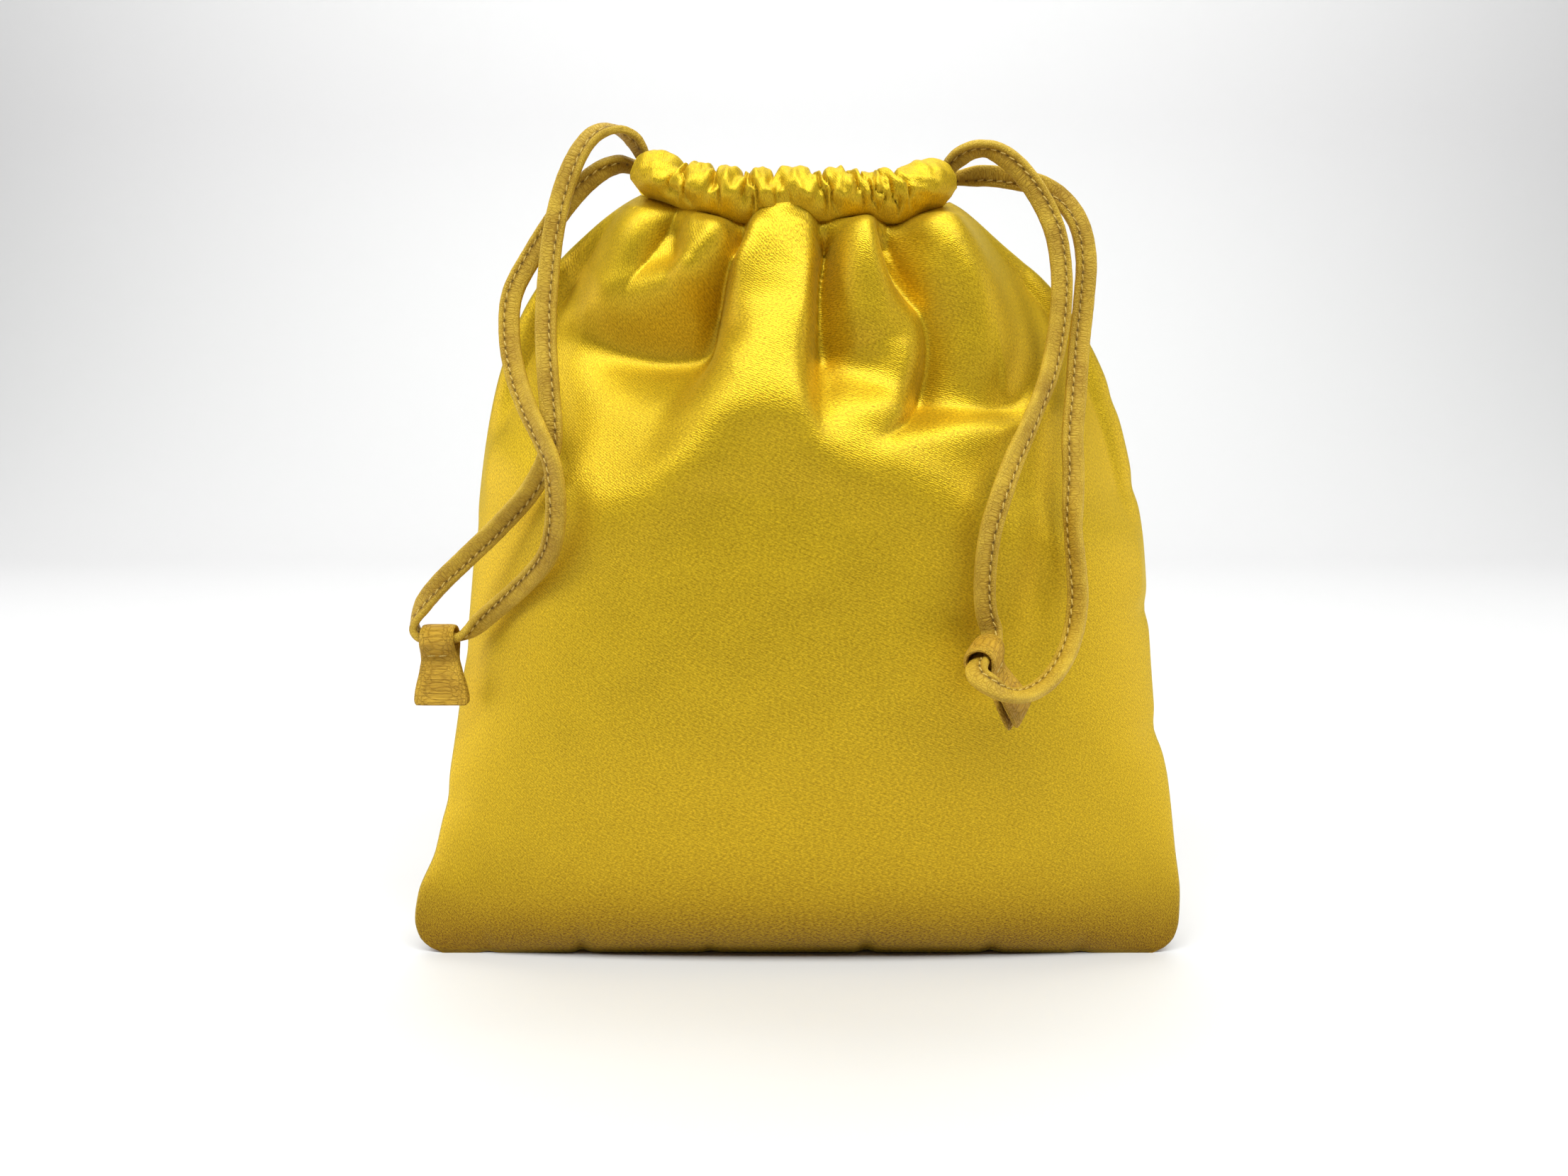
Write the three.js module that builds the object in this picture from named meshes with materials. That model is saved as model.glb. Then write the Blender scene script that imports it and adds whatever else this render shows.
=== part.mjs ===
// Drawstring pouch: two satin panels, two ruffled cord channels round a drawn mouth,
// two leather drawcords and their folded tabs. Millimetres, +Z up, front towards -Y.
import * as THREE from 'three';

// Driving dimensions
const WALL = 1.5;               // satin and lining together
const SEAM_GAP = 0.3;           // between the two panels at the side and bottom seams
const RISE_TOP = 172;           // nominal height of the stitch line before it dips
const FRONT_COLUMNS = 36;
const BACK_COLUMNS = 22;
const SLIT_SHARE = 0.031;       // half the side slit, as a share of the way round the mouth
const CHANNEL_STEPS = 34;
const CHANNEL_SIDES = 10;
const TUNNEL_RADIUS = 2.95;
const CHANNEL_DEPTH = 4.3;      // from the cord to the outer face, before the ruffles
const PLEATS = 11;
const PLEAT_RISE = 1.1;
const RUN_RADIUS = 1.15;        // the strap bunched up inside the channel
const RUN_TAIL = 2.0;           // straight end of a run, outside the channel
const LANE = 1.3;               // half the spacing of the two cords inside the channel
const STRAP_WIDTH = 4.6;
const STRAP_THICKNESS = 2.0;
const TAB_HEIGHT = 18.5;

const table = (columns, ...rows) =>
  rows.map((row) => Object.fromEntries(columns.map((name, i) => [name, row[i]])));

// The side seam, by height: its left and right places across and how far forward it stands
const EDGES = table(['height', 'left', 'right', 'seam'],
  [0, -82.6, 83.0, -11.0],
  [1.5, -85.8, 86.0, -10.9],
  [4, -88.0, 88.0, -10.8],
  [8, -89.0, 89.0, -10.4],
  [14, -88.2, 89.2, -9.7],
  [24, -84.2, 88.2, -8.0],
  [40, -81.3, 86.6, -5.5],
  [55, -79.0, 83.6, -3.5],
  [75, -76.6, 82.0, -1.0],
  [95, -74.6, 80.4, 0.5],
  [115, -72.0, 76.2, 1.0],
  [130, -68.8, 71.6, 0.8],
  [145, -63.2, 64.0, 0.5],
  [156, -56.0, 55.0, 0.3],
  [165, -45.2, 43.0, 0.0],
  [172, -35.0, 34.0, 0.0]);

// Each panel from the bottom seam (share 0) to the stitch line (share 1):
// height at the middle, height at the side seam, bulge at the middle
const FRONT_RISE = table(['share', 'middle', 'edge', 'bulge'],
  [0.000, 0, 0, 0.0],
  [0.023, 4, 4, 4.8],
  [0.058, 10, 10, 9.5],
  [0.116, 20, 20, 14.5],
  [0.209, 36, 36, 20.0],
  [0.326, 56, 56, 25.5],
  [0.453, 78, 78, 29.0],
  [0.570, 98, 98, 30.5],
  [0.651, 112, 112, 29.0],
  [0.721, 124, 124, 24.5],
  [0.791, 136, 136, 20.5],
  [0.872, 150, 150, 19.0],
  [0.930, 160, 160, 17.8],
  [0.965, 166, 166, 16.4],
  [0.985, 169.5, 169.5, 14.8],
  [1.000, 172, 172, 12.6]);
const BACK_RISE = table(['share', 'middle', 'edge', 'bulge'],
  [0.00, 0, 0, 0.0],
  [0.05, 0, 2.5, 12.0],
  [0.10, 0, 6.5, 24.0],
  [0.15, 1.5, 11, 30.5],
  [0.20, 8.5, 17, 33.6],
  [0.27, 24, 28, 35.4],
  [0.36, 43, 44, 35.0],
  [0.46, 64, 64, 33.4],
  [0.56, 84, 84, 31.6],
  [0.66, 104, 104, 29.2],
  [0.76, 125, 125, 25.0],
  [0.86, 146, 146, 20.2],
  [0.93, 160, 160, 17.6],
  [0.965, 166, 166, 16.2],
  [0.985, 169.5, 169.5, 14.8],
  [1.00, 172, 172, 12.6]);
const FRONT_SHARES = [0, 0.009, 0.023, 0.046, 0.08, 0.13, 0.20, 0.28, 0.37, 0.46, 0.54, 0.60,
  0.645, 0.675, 0.70, 0.725, 0.75, 0.775, 0.80, 0.825, 0.85, 0.875, 0.90, 0.92, 0.94, 0.957, 0.972,
  0.986, 1];
const BACK_SHARES = [0, 0.035, 0.07, 0.10, 0.125, 0.15, 0.175, 0.20, 0.24, 0.30, 0.38, 0.46, 0.54, 0.61,
  0.67, 0.72, 0.76, 0.80, 0.835, 0.87, 0.90, 0.93, 0.955, 0.98, 1];

// The stitch line under the channel dips between the gathers
const STITCH = table(['across', 'height'],
  [0.00, 170.5],
  [0.10, 169.0],
  [0.20, 167.0],
  [0.33, 165.0],
  [0.42, 165.4],
  [0.50, 166.4],
  [0.58, 165.2],
  [0.66, 165.2],
  [0.73, 166.0],
  [0.80, 165.0],
  [0.88, 166.6],
  [1.00, 168.8]);

// Folds seen from in front: a bent line from start by way of mid to end, how far the cloth
// rises (or sinks, below zero) at those three places, and the half width at start and end;
// skew is the half width on the right of the line's direction over that on its left
const FOLD = ['x0', 'z0', 'x1', 'z1', 'x2', 'z2', 'rise0', 'rise1', 'rise2', 'width0', 'width1', 'skew'];
const FRONT_FOLDS = table(FOLD,
  [-24, 168, -28, 158, -48, 151, -6, -5, -1, 2.2, 5.0, 1.0],
  [-11, 166, -13, 153, -19, 131, -7, -6, -2, 2.2, 5.0, 1.4],
  [5, 167, 4.6, 150, 2, 128, -7, -7, -2, 2.0, 4.0, 1.0],
  [18, 166, 25, 146, 20, 120, -7, -6, -2, 2.2, 4.5, 0.8],
  [-17, 164, -27, 154, -55, 145, 4, 5, 3, 6.0, 8.0, 1.0],
  [-3, 167, -4.5, 148, -13, 121, 6, 7, 3, 6.0, 11.0, 1.0],
  [11.5, 164, 15, 147, 12, 126, 4, 4, 3, 5.5, 9.0, 1.0],
  [-48, 142, -33, 140, -15, 148, -2, -5, -4, 6.0, 6.0, 1.0],
  [-52, 113, -36, 108.5, -13, 127, 2, 4, 3, 7.0, 7.0, 1.0],
  [2, 128, 22, 112, 54, 92, 3, 4, 1, 6.0, 9.0, 1.0],
  [28, 138, 38, 137, 54, 143, -4, -4, -2, 6.0, 6.0, 1.0],
  [18, 119, 34, 124, 56, 126, 3, 3, 2, 4.0, 5.0, 1.0],
  [44, 129, 50, 127, 54, 132, -3, -4, -2, 3.0, 3.0, 1.0],
  [51.5, 98, 51.5, 89, 52.5, 80, -0.8, -1.5, -0.5, 4.0, 5.0, 1.0]);
const BACK_FOLDS = table(FOLD,
  [-20, 168, -27, 150, -44, 132, -6, -5, -1, 2.4, 5.0, 1.0],
  [-6, 166, -9, 148, -14, 122, -6, -6, -1, 2.4, 5.0, 1.0],
  [8, 166, 9, 148, 15, 124, -6, -6, -1, 2.4, 5.0, 1.0],
  [21, 168, 28, 151, 46, 134, -6, -5, -1, 2.4, 5.0, 1.0],
  [-13, 165, -18, 148, -30, 126, 4, 5, 1, 6.0, 9.0, 1.0],
  [1, 167, 0, 148, 1, 118, 4, 6, 2, 6.0, 11.0, 1.0],
  [15, 165, 20, 148, 32, 126, 4, 5, 1, 6.0, 9.0, 1.0],
  [-58, 122, -40, 112, -18, 116, 1, 3, 1, 8.0, 8.0, 1.0],
  [20, 116, 42, 110, 60, 120, 1, 3, 1, 8.0, 8.0, 1.0]);

// The middle of the cord tunnel round the mouth, front half from the left slit to the right one
const RING = table(['x', 'y', 'z'],
  [-34.0, 0.0, 175.6],
  [-32.4, -3.6, 175.2],
  [-28.2, -7.2, 174.0],
  [-20.5, -10.6, 171.8],
  [-11.0, -12.4, 170.9],
  [0.0, -13.0, 170.9],
  [10.0, -12.6, 170.8],
  [19.0, -10.8, 171.2],
  [26.6, -7.2, 172.4],
  [30.6, -3.6, 173.3],
  [32.2, 0.0, 173.6]);

// Drawcords outside the channel: the middle of the strap and the way its flat side faces
const STRAP = ['x', 'y', 'z', 'fx', 'fy', 'fz'];
const LEFT_LOOP = table(STRAP,
  [-33.6, -2.2, 180.0, 0.45, 0.6, 0.66],
  [-35.8, -3.8, 183.8, 0.45, 0.6, 0.66],
  [-38.2, -5.2, 185.5, 0.2, 0.1, 0.95],
  [-41.0, -6.3, 185.8, -0.15, -0.5, 0.85],
  [-43.9, -7.2, 184.6, -0.4, -0.8, 0.4],
  [-46.5, -8.2, 181.6, -0.4, -0.9, 0.2],
  [-49.6, -9.4, 175.2, -0.2, -1, 0],
  [-52.4, -10.8, 165.0, 0, -1, 0],
  [-53.9, -13.2, 151.4, 0, -1, 0],
  [-54.0, -16.0, 141.8, 0, -1, 0],
  [-53.0, -19.6, 130.8, 0, -1, 0],
  [-52.2, -21.8, 121.6, 0, -1, 0],
  [-52.7, -22.2, 116.6, 0.1, -0.95, -0.1],
  [-57.0, -20.6, 108.8, 0.25, -0.9, -0.25],
  [-64.3, -17.4, 101.1, 0.25, -0.9, -0.25],
  [-73.4, -14.2, 92.9, 0.1, -0.95, -0.1],
  [-79.6, -12.5, 87.2, -0.2, -0.95, 0],
  [-83.6, -11.8, 82.6, -0.6, -0.8, 0],
  [-85.7, -11.6, 78.8, -1, -0.3, 0],
  [-85.9, -11.5, 76.6, -1, 0, -0.3],
  [-84.7, -11.5, 75.0, -0.45, 0, -0.9],
  [-82.6, -11.5, 74.7, 0, 0, -1],
  [-78.0, -11.5, 74.7, 0, 0, -1],
  [-75.6, -11.6, 75.0, 0.2, -0.1, -1],
  [-73.4, -12.1, 76.2, 0.4, -0.5, -0.75],
  [-70.4, -13.0, 78.9, 0.3, -0.9, -0.35],
  [-62.2, -17.0, 85.7, 0, -1, 0],
  [-57.4, -20.4, 90.1, -0.1, -1, 0],
  [-53.4, -23.8, 94.8, -0.2, -1, 0],
  [-51.2, -26.8, 100.8, -0.25, -1, 0],
  [-50.6, -28.0, 107.6, -0.35, -0.95, 0],
  [-51.3, -27.6, 114.4, -0.6, -0.8, 0],
  [-53.8, -25.4, 119.8, -0.6, -0.8, 0],
  [-57.4, -21.0, 126.0, -0.3, -0.95, 0],
  [-60.9, -15.6, 133.6, 0, -1, 0],
  [-62.9, -10.8, 142.1, 0, -1, 0],
  [-62.5, -8.2, 150.6, 0, -1, 0],
  [-58.0, -6.6, 159.4, 0, -1, 0],
  [-51.4, -5.6, 169.2, 0.1, -0.95, -0.2],
  [-46.4, -4.9, 174.8, 0.2, -0.85, -0.45],
  [-42.5, -3.8, 177.8, 0.1, -0.75, -0.65],
  [-39.4, -1.6, 179.2, 0, -0.75, -0.65],
  [-36.6, 1.2, 179.2, 0, -0.8, -0.6]);
const RIGHT_LOOP = table(STRAP,
  [32.4, -2.2, 177.4, 0.2, -0.8, -0.55],
  [35.0, -4.0, 180.0, 0.2, -0.8, -0.55],
  [38.0, -5.6, 181.5, 0.15, -0.6, -0.75],
  [41.0, -6.9, 181.5, 0, -0.5, -0.85],
  [44.3, -8.0, 179.9, -0.35, -0.75, -0.5],
  [47.6, -9.1, 177.0, -0.4, -0.85, -0.3],
  [52.0, -10.5, 170.8, -0.25, -0.95, -0.1],
  [55.3, -11.4, 163.6, 0, -1, 0],
  [56.8, -12.2, 155.0, 0, -1, 0],
  [56.7, -13.2, 147.0, 0, -1, 0],
  [55.5, -15.2, 139.7, 0.15, -1, 0],
  [53.3, -18.4, 132.4, 0.5, -0.85, 0.1],
  [50.5, -22.0, 126.5, 0.8, -0.6, 0.2],
  [47.7, -25.6, 121.1, 0.6, -0.8, 0.1],
  [44.6, -29.2, 115.5, 0.3, -0.95, 0],
  [41.6, -32.8, 108.6, 0, -1, 0],
  [39.4, -34.0, 101.6, 0, -1, 0],
  [38.6, -33.0, 94.0, 0, -1, 0],
  [38.8, -31.4, 86.6, 0, -1, 0],
  [39.6, -30.4, 82.4, 0, -1, 0.1],
  [40.5, -30.1, 79.9, -0.1, -1, 0.2],
  [40.4, -31.4, 78.0, -0.25, -0.6, 0.7],
  [39.7, -33.4, 77.2, -0.45, -0.1, 0.88],
  [36.3, -40.6, 74.6, -0.45, -0.1, 0.88],
  [35.6, -42.8, 74.0, -0.35, -0.35, 0.85],
  [35.8, -44.8, 73.0, -0.3, -0.55, 0.75],
  [37.4, -46.6, 71.9, -0.1, -0.75, 0.65],
  [40.2, -46.2, 70.2, 0, -0.6, 0.8],
  [44.1, -43.6, 68.8, 0, -0.35, 0.95],
  [48.6, -40.0, 69.3, -0.25, -0.35, 0.9],
  [52.4, -36.7, 71.5, -0.5, -0.5, 0.7],
  [55.8, -32.8, 75.3, -0.6, -0.65, 0.4],
  [58.1, -29.2, 80.0, -0.65, -0.75, 0.1],
  [59.2, -26.8, 86.0, -0.6, -0.8, 0],
  [59.0, -25.6, 92.0, -0.7, -0.7, 0],
  [58.3, -24.4, 100.4, -0.85, -0.5, 0],
  [58.4, -23.0, 106.0, -0.5, -0.85, 0],
  [58.8, -20.8, 112.6, -0.1, -1, 0],
  [58.8, -18.8, 119.6, 0, -1, 0],
  [60.0, -15.4, 128.9, 0, -1, 0],
  [61.6, -10.2, 140.2, 0, -1, 0],
  [62.9, -7.5, 149.6, 0, -1, 0],
  [63.3, -6.5, 158.6, 0, -1, 0],
  [61.6, -6.0, 165.9, 0.2, -0.95, 0],
  [58.2, -5.5, 170.8, 0.3, -0.9, 0],
  [53.4, -4.9, 174.0, 0.1, -0.95, -0.1],
  [47.5, -3.8, 175.7, 0, -0.95, -0.2],
  [41.4, -1.6, 176.8, 0, -0.95, -0.25],
  [35.6, 1.4, 176.8, 0, -0.95, -0.25]);

// Half of a tab seen from its end, from the fold down: half thickness and drop below the fold
const TAB_OUTSIDE = table(['half', 'drop'],
  [0.7, 0.0],
  [2.0, 0.5],
  [3.1, 1.7],
  [3.6, 3.2],
  [3.2, 4.9],
  [2.0, 6.6],
  [1.25, 7.8],
  [1.25, 11.0],
  [1.5, TAB_HEIGHT]);
const TAB_HOLE = table(['half', 'drop'],
  [0.9, 1.2],
  [2.2, 1.9],
  [2.55, 3.2],
  [2.3, 4.4],
  [0.6, 6.0]);
const TAB_SLIT = table(['half', 'drop'],
  [0.4, TAB_HEIGHT],
  [0.12, 12.5]);
const TAB_WIDTHS = table(['drop', 'width'],
  [0, 7.6],
  [7.8, 8.4],
  [11, 9.6],
  [TAB_HEIGHT, 12.8]);
const TAB_CORD_DROP = 3.2;      // from the fold to the middle of the strap it holds
const RIGHT_TAB_AXIS = new THREE.Vector3(0.4, 0.86, 0.3).normalize();
const RIGHT_TAB_LEAN = new THREE.Vector3(-0.49, 0, 0.87);

const satin = new THREE.MeshStandardMaterial({ color: 0xc9a01f, roughness: 0.42, metalness: 0.1 });
const leather = new THREE.MeshStandardMaterial({ color: 0xb98f3c, roughness: 0.62, metalness: 0 });

const clamp = THREE.MathUtils.clamp;
const smooth = (x) => x * x * (3 - 2 * x);

// A smooth curve through a table that never overshoots its rows
function spline(rows, key, column, at) {
  const last = rows.length - 1;
  const x = clamp(at, rows[0][key], rows[last][key]);
  const slope = (i) => (rows[i + 1][column] - rows[i][column]) / (rows[i + 1][key] - rows[i][key]);
  const tangent = (i) => {
    if (i === 0) return slope(0);
    if (i === last) return slope(last - 1);
    const [a, b] = [slope(i - 1), slope(i)];
    if (a * b <= 0) return 0;
    const before = rows[i][key] - rows[i - 1][key];
    const after = rows[i + 1][key] - rows[i][key];
    const [w1, w2] = [2 * after + before, after + 2 * before];
    return (w1 + w2) / (w1 / a + w2 / b);
  };
  let i = 0;
  while (i < last - 1 && x > rows[i + 1][key]) i += 1;
  const h = rows[i + 1][key] - rows[i][key];
  const s = (x - rows[i][key]) / h;
  return (1 + 2 * s) * (1 - s) ** 2 * rows[i][column] + s * (1 - s) ** 2 * h * tangent(i)
    + s * s * (3 - 2 * s) * rows[i + 1][column] + s * s * (s - 1) * h * tangent(i + 1);
}

// Closed shell between an outer and an inner grid of points, with the four rims filled
function shell(outer, inner, flip) {
  const rows = outer.length;
  const columns = outer[0].length;
  const positions = [...outer.flat(), ...inner.flat()].flatMap((p) => [p.x, p.y, p.z]);
  const index = [];
  const o = (r, c) => r * columns + c;
  const i = (r, c) => rows * columns + r * columns + c;
  const quad = (a, b, c, d) => index.push(...(flip ? [a, c, b, a, d, c] : [a, b, c, a, c, d]));
  for (let r = 0; r < rows - 1; r += 1) {
    for (let c = 0; c < columns - 1; c += 1) {
      quad(o(r, c), o(r, c + 1), o(r + 1, c + 1), o(r + 1, c));
      quad(i(r, c), i(r + 1, c), i(r + 1, c + 1), i(r, c + 1));
    }
    quad(i(r, 0), o(r, 0), o(r + 1, 0), i(r + 1, 0));
    quad(o(r, columns - 1), i(r, columns - 1), i(r + 1, columns - 1), o(r + 1, columns - 1));
  }
  for (let c = 0; c < columns - 1; c += 1) {
    quad(i(0, c), i(0, c + 1), o(0, c + 1), o(0, c));
    quad(o(rows - 1, c), o(rows - 1, c + 1), i(rows - 1, c + 1), i(rows - 1, c));
  }
  return geometryOf(positions, index);
}

// Closed pipe between outer and inner rings of points, open right through
function pipe(outer, inner) {
  const steps = outer.length;
  const sides = outer[0].length;
  const positions = [...outer.flat(), ...inner.flat()].flatMap((p) => [p.x, p.y, p.z]);
  const index = [];
  const o = (r, c) => r * sides + (c % sides);
  const i = (r, c) => steps * sides + r * sides + (c % sides);
  const quad = (a, b, c, d) => index.push(a, c, b, a, d, c);
  for (let c = 0; c < sides; c += 1) {
    for (let r = 0; r < steps - 1; r += 1) {
      quad(o(r, c), o(r, c + 1), o(r + 1, c + 1), o(r + 1, c));
      quad(i(r, c), i(r + 1, c), i(r + 1, c + 1), i(r, c + 1));
    }
    quad(i(0, c), i(0, c + 1), o(0, c + 1), o(0, c));
    quad(o(steps - 1, c), o(steps - 1, c + 1), i(steps - 1, c + 1), i(steps - 1, c));
  }
  return geometryOf(positions, index);
}

function geometryOf(positions, index) {
  const geometry = new THREE.BufferGeometry();
  geometry.setAttribute('position', new THREE.Float32BufferAttribute(positions, 3));
  geometry.setIndex(index);
  geometry.computeVertexNormals();
  return geometry;
}

// Panels
const across = (u) => u - 0.45 * Math.sin(2 * Math.PI * u) / (2 * Math.PI);
const crown = (e) => Math.max(0, 1 - Math.abs(2 * e - 1) ** 2.5) ** 0.78;

// A panel before its folds: u runs from the left seam to the right, t from the bottom up
function pillow(u, t, rise, side) {
  const e = across(clamp(u, 0, 1));
  const share = clamp(t, 0, 1);
  const full = crown(e);
  const [middle, edge, bulge] = ['middle', 'edge', 'bulge'].map((k) => spline(rise, 'share', k, share));
  const [left, right, seam] = ['left', 'right', 'seam'].map((k) => spline(EDGES, 'height', k, edge));
  const dip = (spline(STITCH, 'across', 'height', e) - RISE_TOP) * clamp((share - 0.62) / 0.38, 0, 1) ** 1.5;
  const z = edge + (middle - edge) * Math.min(1, full * 1.3) + dip;
  return new THREE.Vector3(left + (right - left) * e, seam + side * (bulge * full + SEAM_GAP / 2), z);
}

// Outward direction, laid into the seam plane at the sides and straight down at the bottom seam
function outward(u, t, rise, side) {
  const d = 0.002;
  const du = pillow(u + d, t, rise, side).sub(pillow(u - d, t, rise, side));
  const dt = pillow(u, t + d, rise, side).sub(pillow(u, t - d, rise, side));
  const n = du.cross(dt).multiplyScalar(-side).normalize();
  const nearSide = 1 - smooth(clamp(Math.min(u, 1 - u) / 0.06, 0, 1));
  n.y *= 1 - nearSide;
  const nearBottom = 1 - smooth(clamp(t / 0.03, 0, 1));
  n.lerp(new THREE.Vector3(nearSide * Math.sign(u - 0.5), 0, -1), nearBottom);
  return n.normalize();
}

// How far a fold lifts the cloth at x, z: a bell across the nearest place on its bent line
function foldLift(x, z, f) {
  const steps = 20;
  const bendX = 2 * f.x1 - (f.x0 + f.x2) / 2;
  const bendZ = 2 * f.z1 - (f.z0 + f.z2) / 2;
  const at = (s, a, b, c) => (1 - s) ** 2 * a + 2 * s * (1 - s) * b + s * s * c;
  let best = { distance: Infinity, s: 0, turn: 1 };
  for (let k = 0; k < steps; k += 1) {
    const [ax, az] = [at(k / steps, f.x0, bendX, f.x2), at(k / steps, f.z0, bendZ, f.z2)];
    const vx = at((k + 1) / steps, f.x0, bendX, f.x2) - ax;
    const vz = at((k + 1) / steps, f.z0, bendZ, f.z2) - az;
    const w = clamp(((x - ax) * vx + (z - az) * vz) / (vx * vx + vz * vz), 0, 1);
    const [ox, oz] = [x - ax - w * vx, z - az - w * vz];
    const distance = Math.hypot(ox, oz);
    if (distance < best.distance) best = { distance, s: (k + w) / steps, turn: vx * oz - vz * ox };
  }
  const rise = at(best.s, f.rise0, 2 * f.rise1 - (f.rise0 + f.rise2) / 2, f.rise2);
  const width = THREE.MathUtils.lerp(f.width0, f.width1, best.s) * (best.turn > 0 ? 1 : f.skew);
  return rise * Math.exp(-((best.distance / width) ** 2));
}

function panel(rise, side, folds, shares, columns) {
  const outer = [];
  const inner = [];
  for (const t of shares) {
    const outerRow = [];
    const innerRow = [];
    for (let c = 0; c < columns; c += 1) {
      const u = c / (columns - 1);
      const p = pillow(u, t, rise, side);
      const n = outward(u, t, rise, side);
      const fade = smooth(clamp(Math.min(u, 1 - u) / 0.05, 0, 1)) * smooth(clamp((1 - t) / 0.07, 0, 1));
      const lift = fade * folds.reduce((sum, f) => sum + foldLift(p.x, p.z, f), 0);
      outerRow.push(p.clone().addScaledVector(n, lift));
      innerRow.push(p.clone().addScaledVector(n, lift - WALL));
    }
    outer.push(outerRow);
    inner.push(innerRow);
  }
  return shell(outer, inner, side > 0);
}

// Channels
const back = RING.slice(1, -1).reverse().map((p) => ({ ...p, y: -p.y }));
const ring = new THREE.CatmullRomCurve3(
  [...RING, ...back].map((p) => new THREE.Vector3(p.x, p.y, p.z)), true, 'centripetal');

// The place a share of the way round the mouth, with its outward and upward directions
function station(share) {
  const centre = ring.getPointAt(THREE.MathUtils.euclideanModulo(share, 1));
  const tangent = ring.getTangentAt(THREE.MathUtils.euclideanModulo(share, 1));
  const out = tangent.clone().cross(new THREE.Vector3(0, 0, 1)).normalize();
  return { centre, out, up: out.clone().cross(tangent).normalize() };
}

function channel(from, to, phase) {
  const top = EDGES[EDGES.length - 1];
  const outer = [];
  const inner = [];
  for (let k = 0; k <= CHANNEL_STEPS; k += 1) {
    const s = k / CHANNEL_STEPS;
    const { centre, out, up } = station(from + (to - from) * s);
    const e = (centre.x - top.left) / (top.right - top.left);
    const drop = centre.z - spline(STITCH, 'across', 'height', e) - SEAM_GAP;
    const end = Math.exp(-((s / 0.1) ** 2)) + Math.exp(-(((1 - s) / 0.1) ** 2));
    const wave = Math.sin(2 * Math.PI * PLEATS * s + phase + 1.2 * Math.sin(2 * Math.PI * 3 * s));
    const ruffle = PLEAT_RISE * (0.5 + 0.5 * wave) * (1 - end) + 1.0 * end;
    const outerRing = [];
    const innerRing = [];
    for (let j = 0; j < CHANNEL_SIDES; j += 1) {
      const a = 2 * Math.PI * j / CHANNEL_SIDES;
      const [ca, sa] = [Math.cos(a), Math.sin(a)];
      const puff = ruffle * clamp(0.6 * ca + 0.8 * sa + 0.2, 0, 1);
      const reach = (CHANNEL_DEPTH + puff) * ca * (1 - 0.3 * Math.max(0, -sa));
      const height = sa * (sa > 0 ? CHANNEL_DEPTH + puff : drop);
      outerRing.push(centre.clone().addScaledVector(out, reach).addScaledVector(up, height));
      innerRing.push(centre.clone().addScaledVector(out, TUNNEL_RADIUS * ca)
        .addScaledVector(up, TUNNEL_RADIUS * sa));
    }
    outer.push(outerRing);
    inner.push(innerRing);
  }
  return pipe(outer, inner);
}

// Drawcords
// A path that also says which way the flat side of the strap faces
class StrapPath extends THREE.CatmullRomCurve3 {
  constructor(rows) {
    super(rows.map((p) => new THREE.Vector3(p.x, p.y, p.z)), false, 'centripetal');
    this.faces = rows.map((p) => new THREE.Vector3(p.fx, p.fy, p.fz));
  }

  getSpacedPoints(steps) {
    return this.getPoints(steps);
  }

  computeFrenetFrames(steps) {
    const frames = { tangents: [], normals: [], binormals: [] };
    for (let k = 0; k <= steps; k += 1) {
      const at = (this.faces.length - 1) * k / steps;
      const low = Math.min(Math.floor(at), this.faces.length - 2);
      const face = this.faces[low].clone().lerp(this.faces[low + 1], at - low);
      const tangent = this.getTangent(k / steps);
      face.addScaledVector(tangent, -face.dot(tangent)).normalize();
      frames.tangents.push(tangent);
      frames.normals.push(face.clone().cross(tangent));
      frames.binormals.push(face);
    }
    return frames;
  }
}

// An eight-sided section swept along a path; flat is how much of each half width stays flat
function sweep(rows, halfWidth, halfThickness, flat) {
  const corner = (x, y) => new THREE.Vector2(halfWidth * x, halfThickness * y);
  const section = new THREE.Shape([corner(1, -0.42), corner(1, 0.42), corner(flat, 1), corner(-flat, 1),
    corner(-1, 0.42), corner(-1, -0.42), corner(-flat, -1), corner(flat, -1)]);
  return new THREE.ExtrudeGeometry(section, { steps: rows.length - 1, extrudePath: new StrapPath(rows) });
}

// The hidden run of a drawcord: both cords share the tunnel and swap lanes half way along it
function run(home) {
  const count = 12;
  const rows = [];
  const place = (share, rise) => {
    const { centre, out, up } = station(share);
    const turn = Math.PI * rise;
    const p = centre.addScaledVector(up, LANE * Math.cos(turn)).addScaledVector(out, LANE * Math.sin(turn));
    rows.push({ x: p.x, y: p.y, z: p.z, fx: 0, fy: 0, fz: 1 });
  };
  const inside = SLIT_SHARE + 0.004;
  const first = inside + home;
  const outside = 0.016;
  place(first - outside, 0);
  for (let k = 0; k <= count; k += 1) place(first + (0.5 - 2 * inside) * k / count, k / count);
  place(first + 0.5 - inside, 1);
  for (let k = 0; k <= count; k += 1) place(first + 0.5 + (0.5 - 2 * inside) * k / count, 1 + k / count);
  place(first + 1 - 2 * inside + outside, 2);
  return rows;
}

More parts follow.
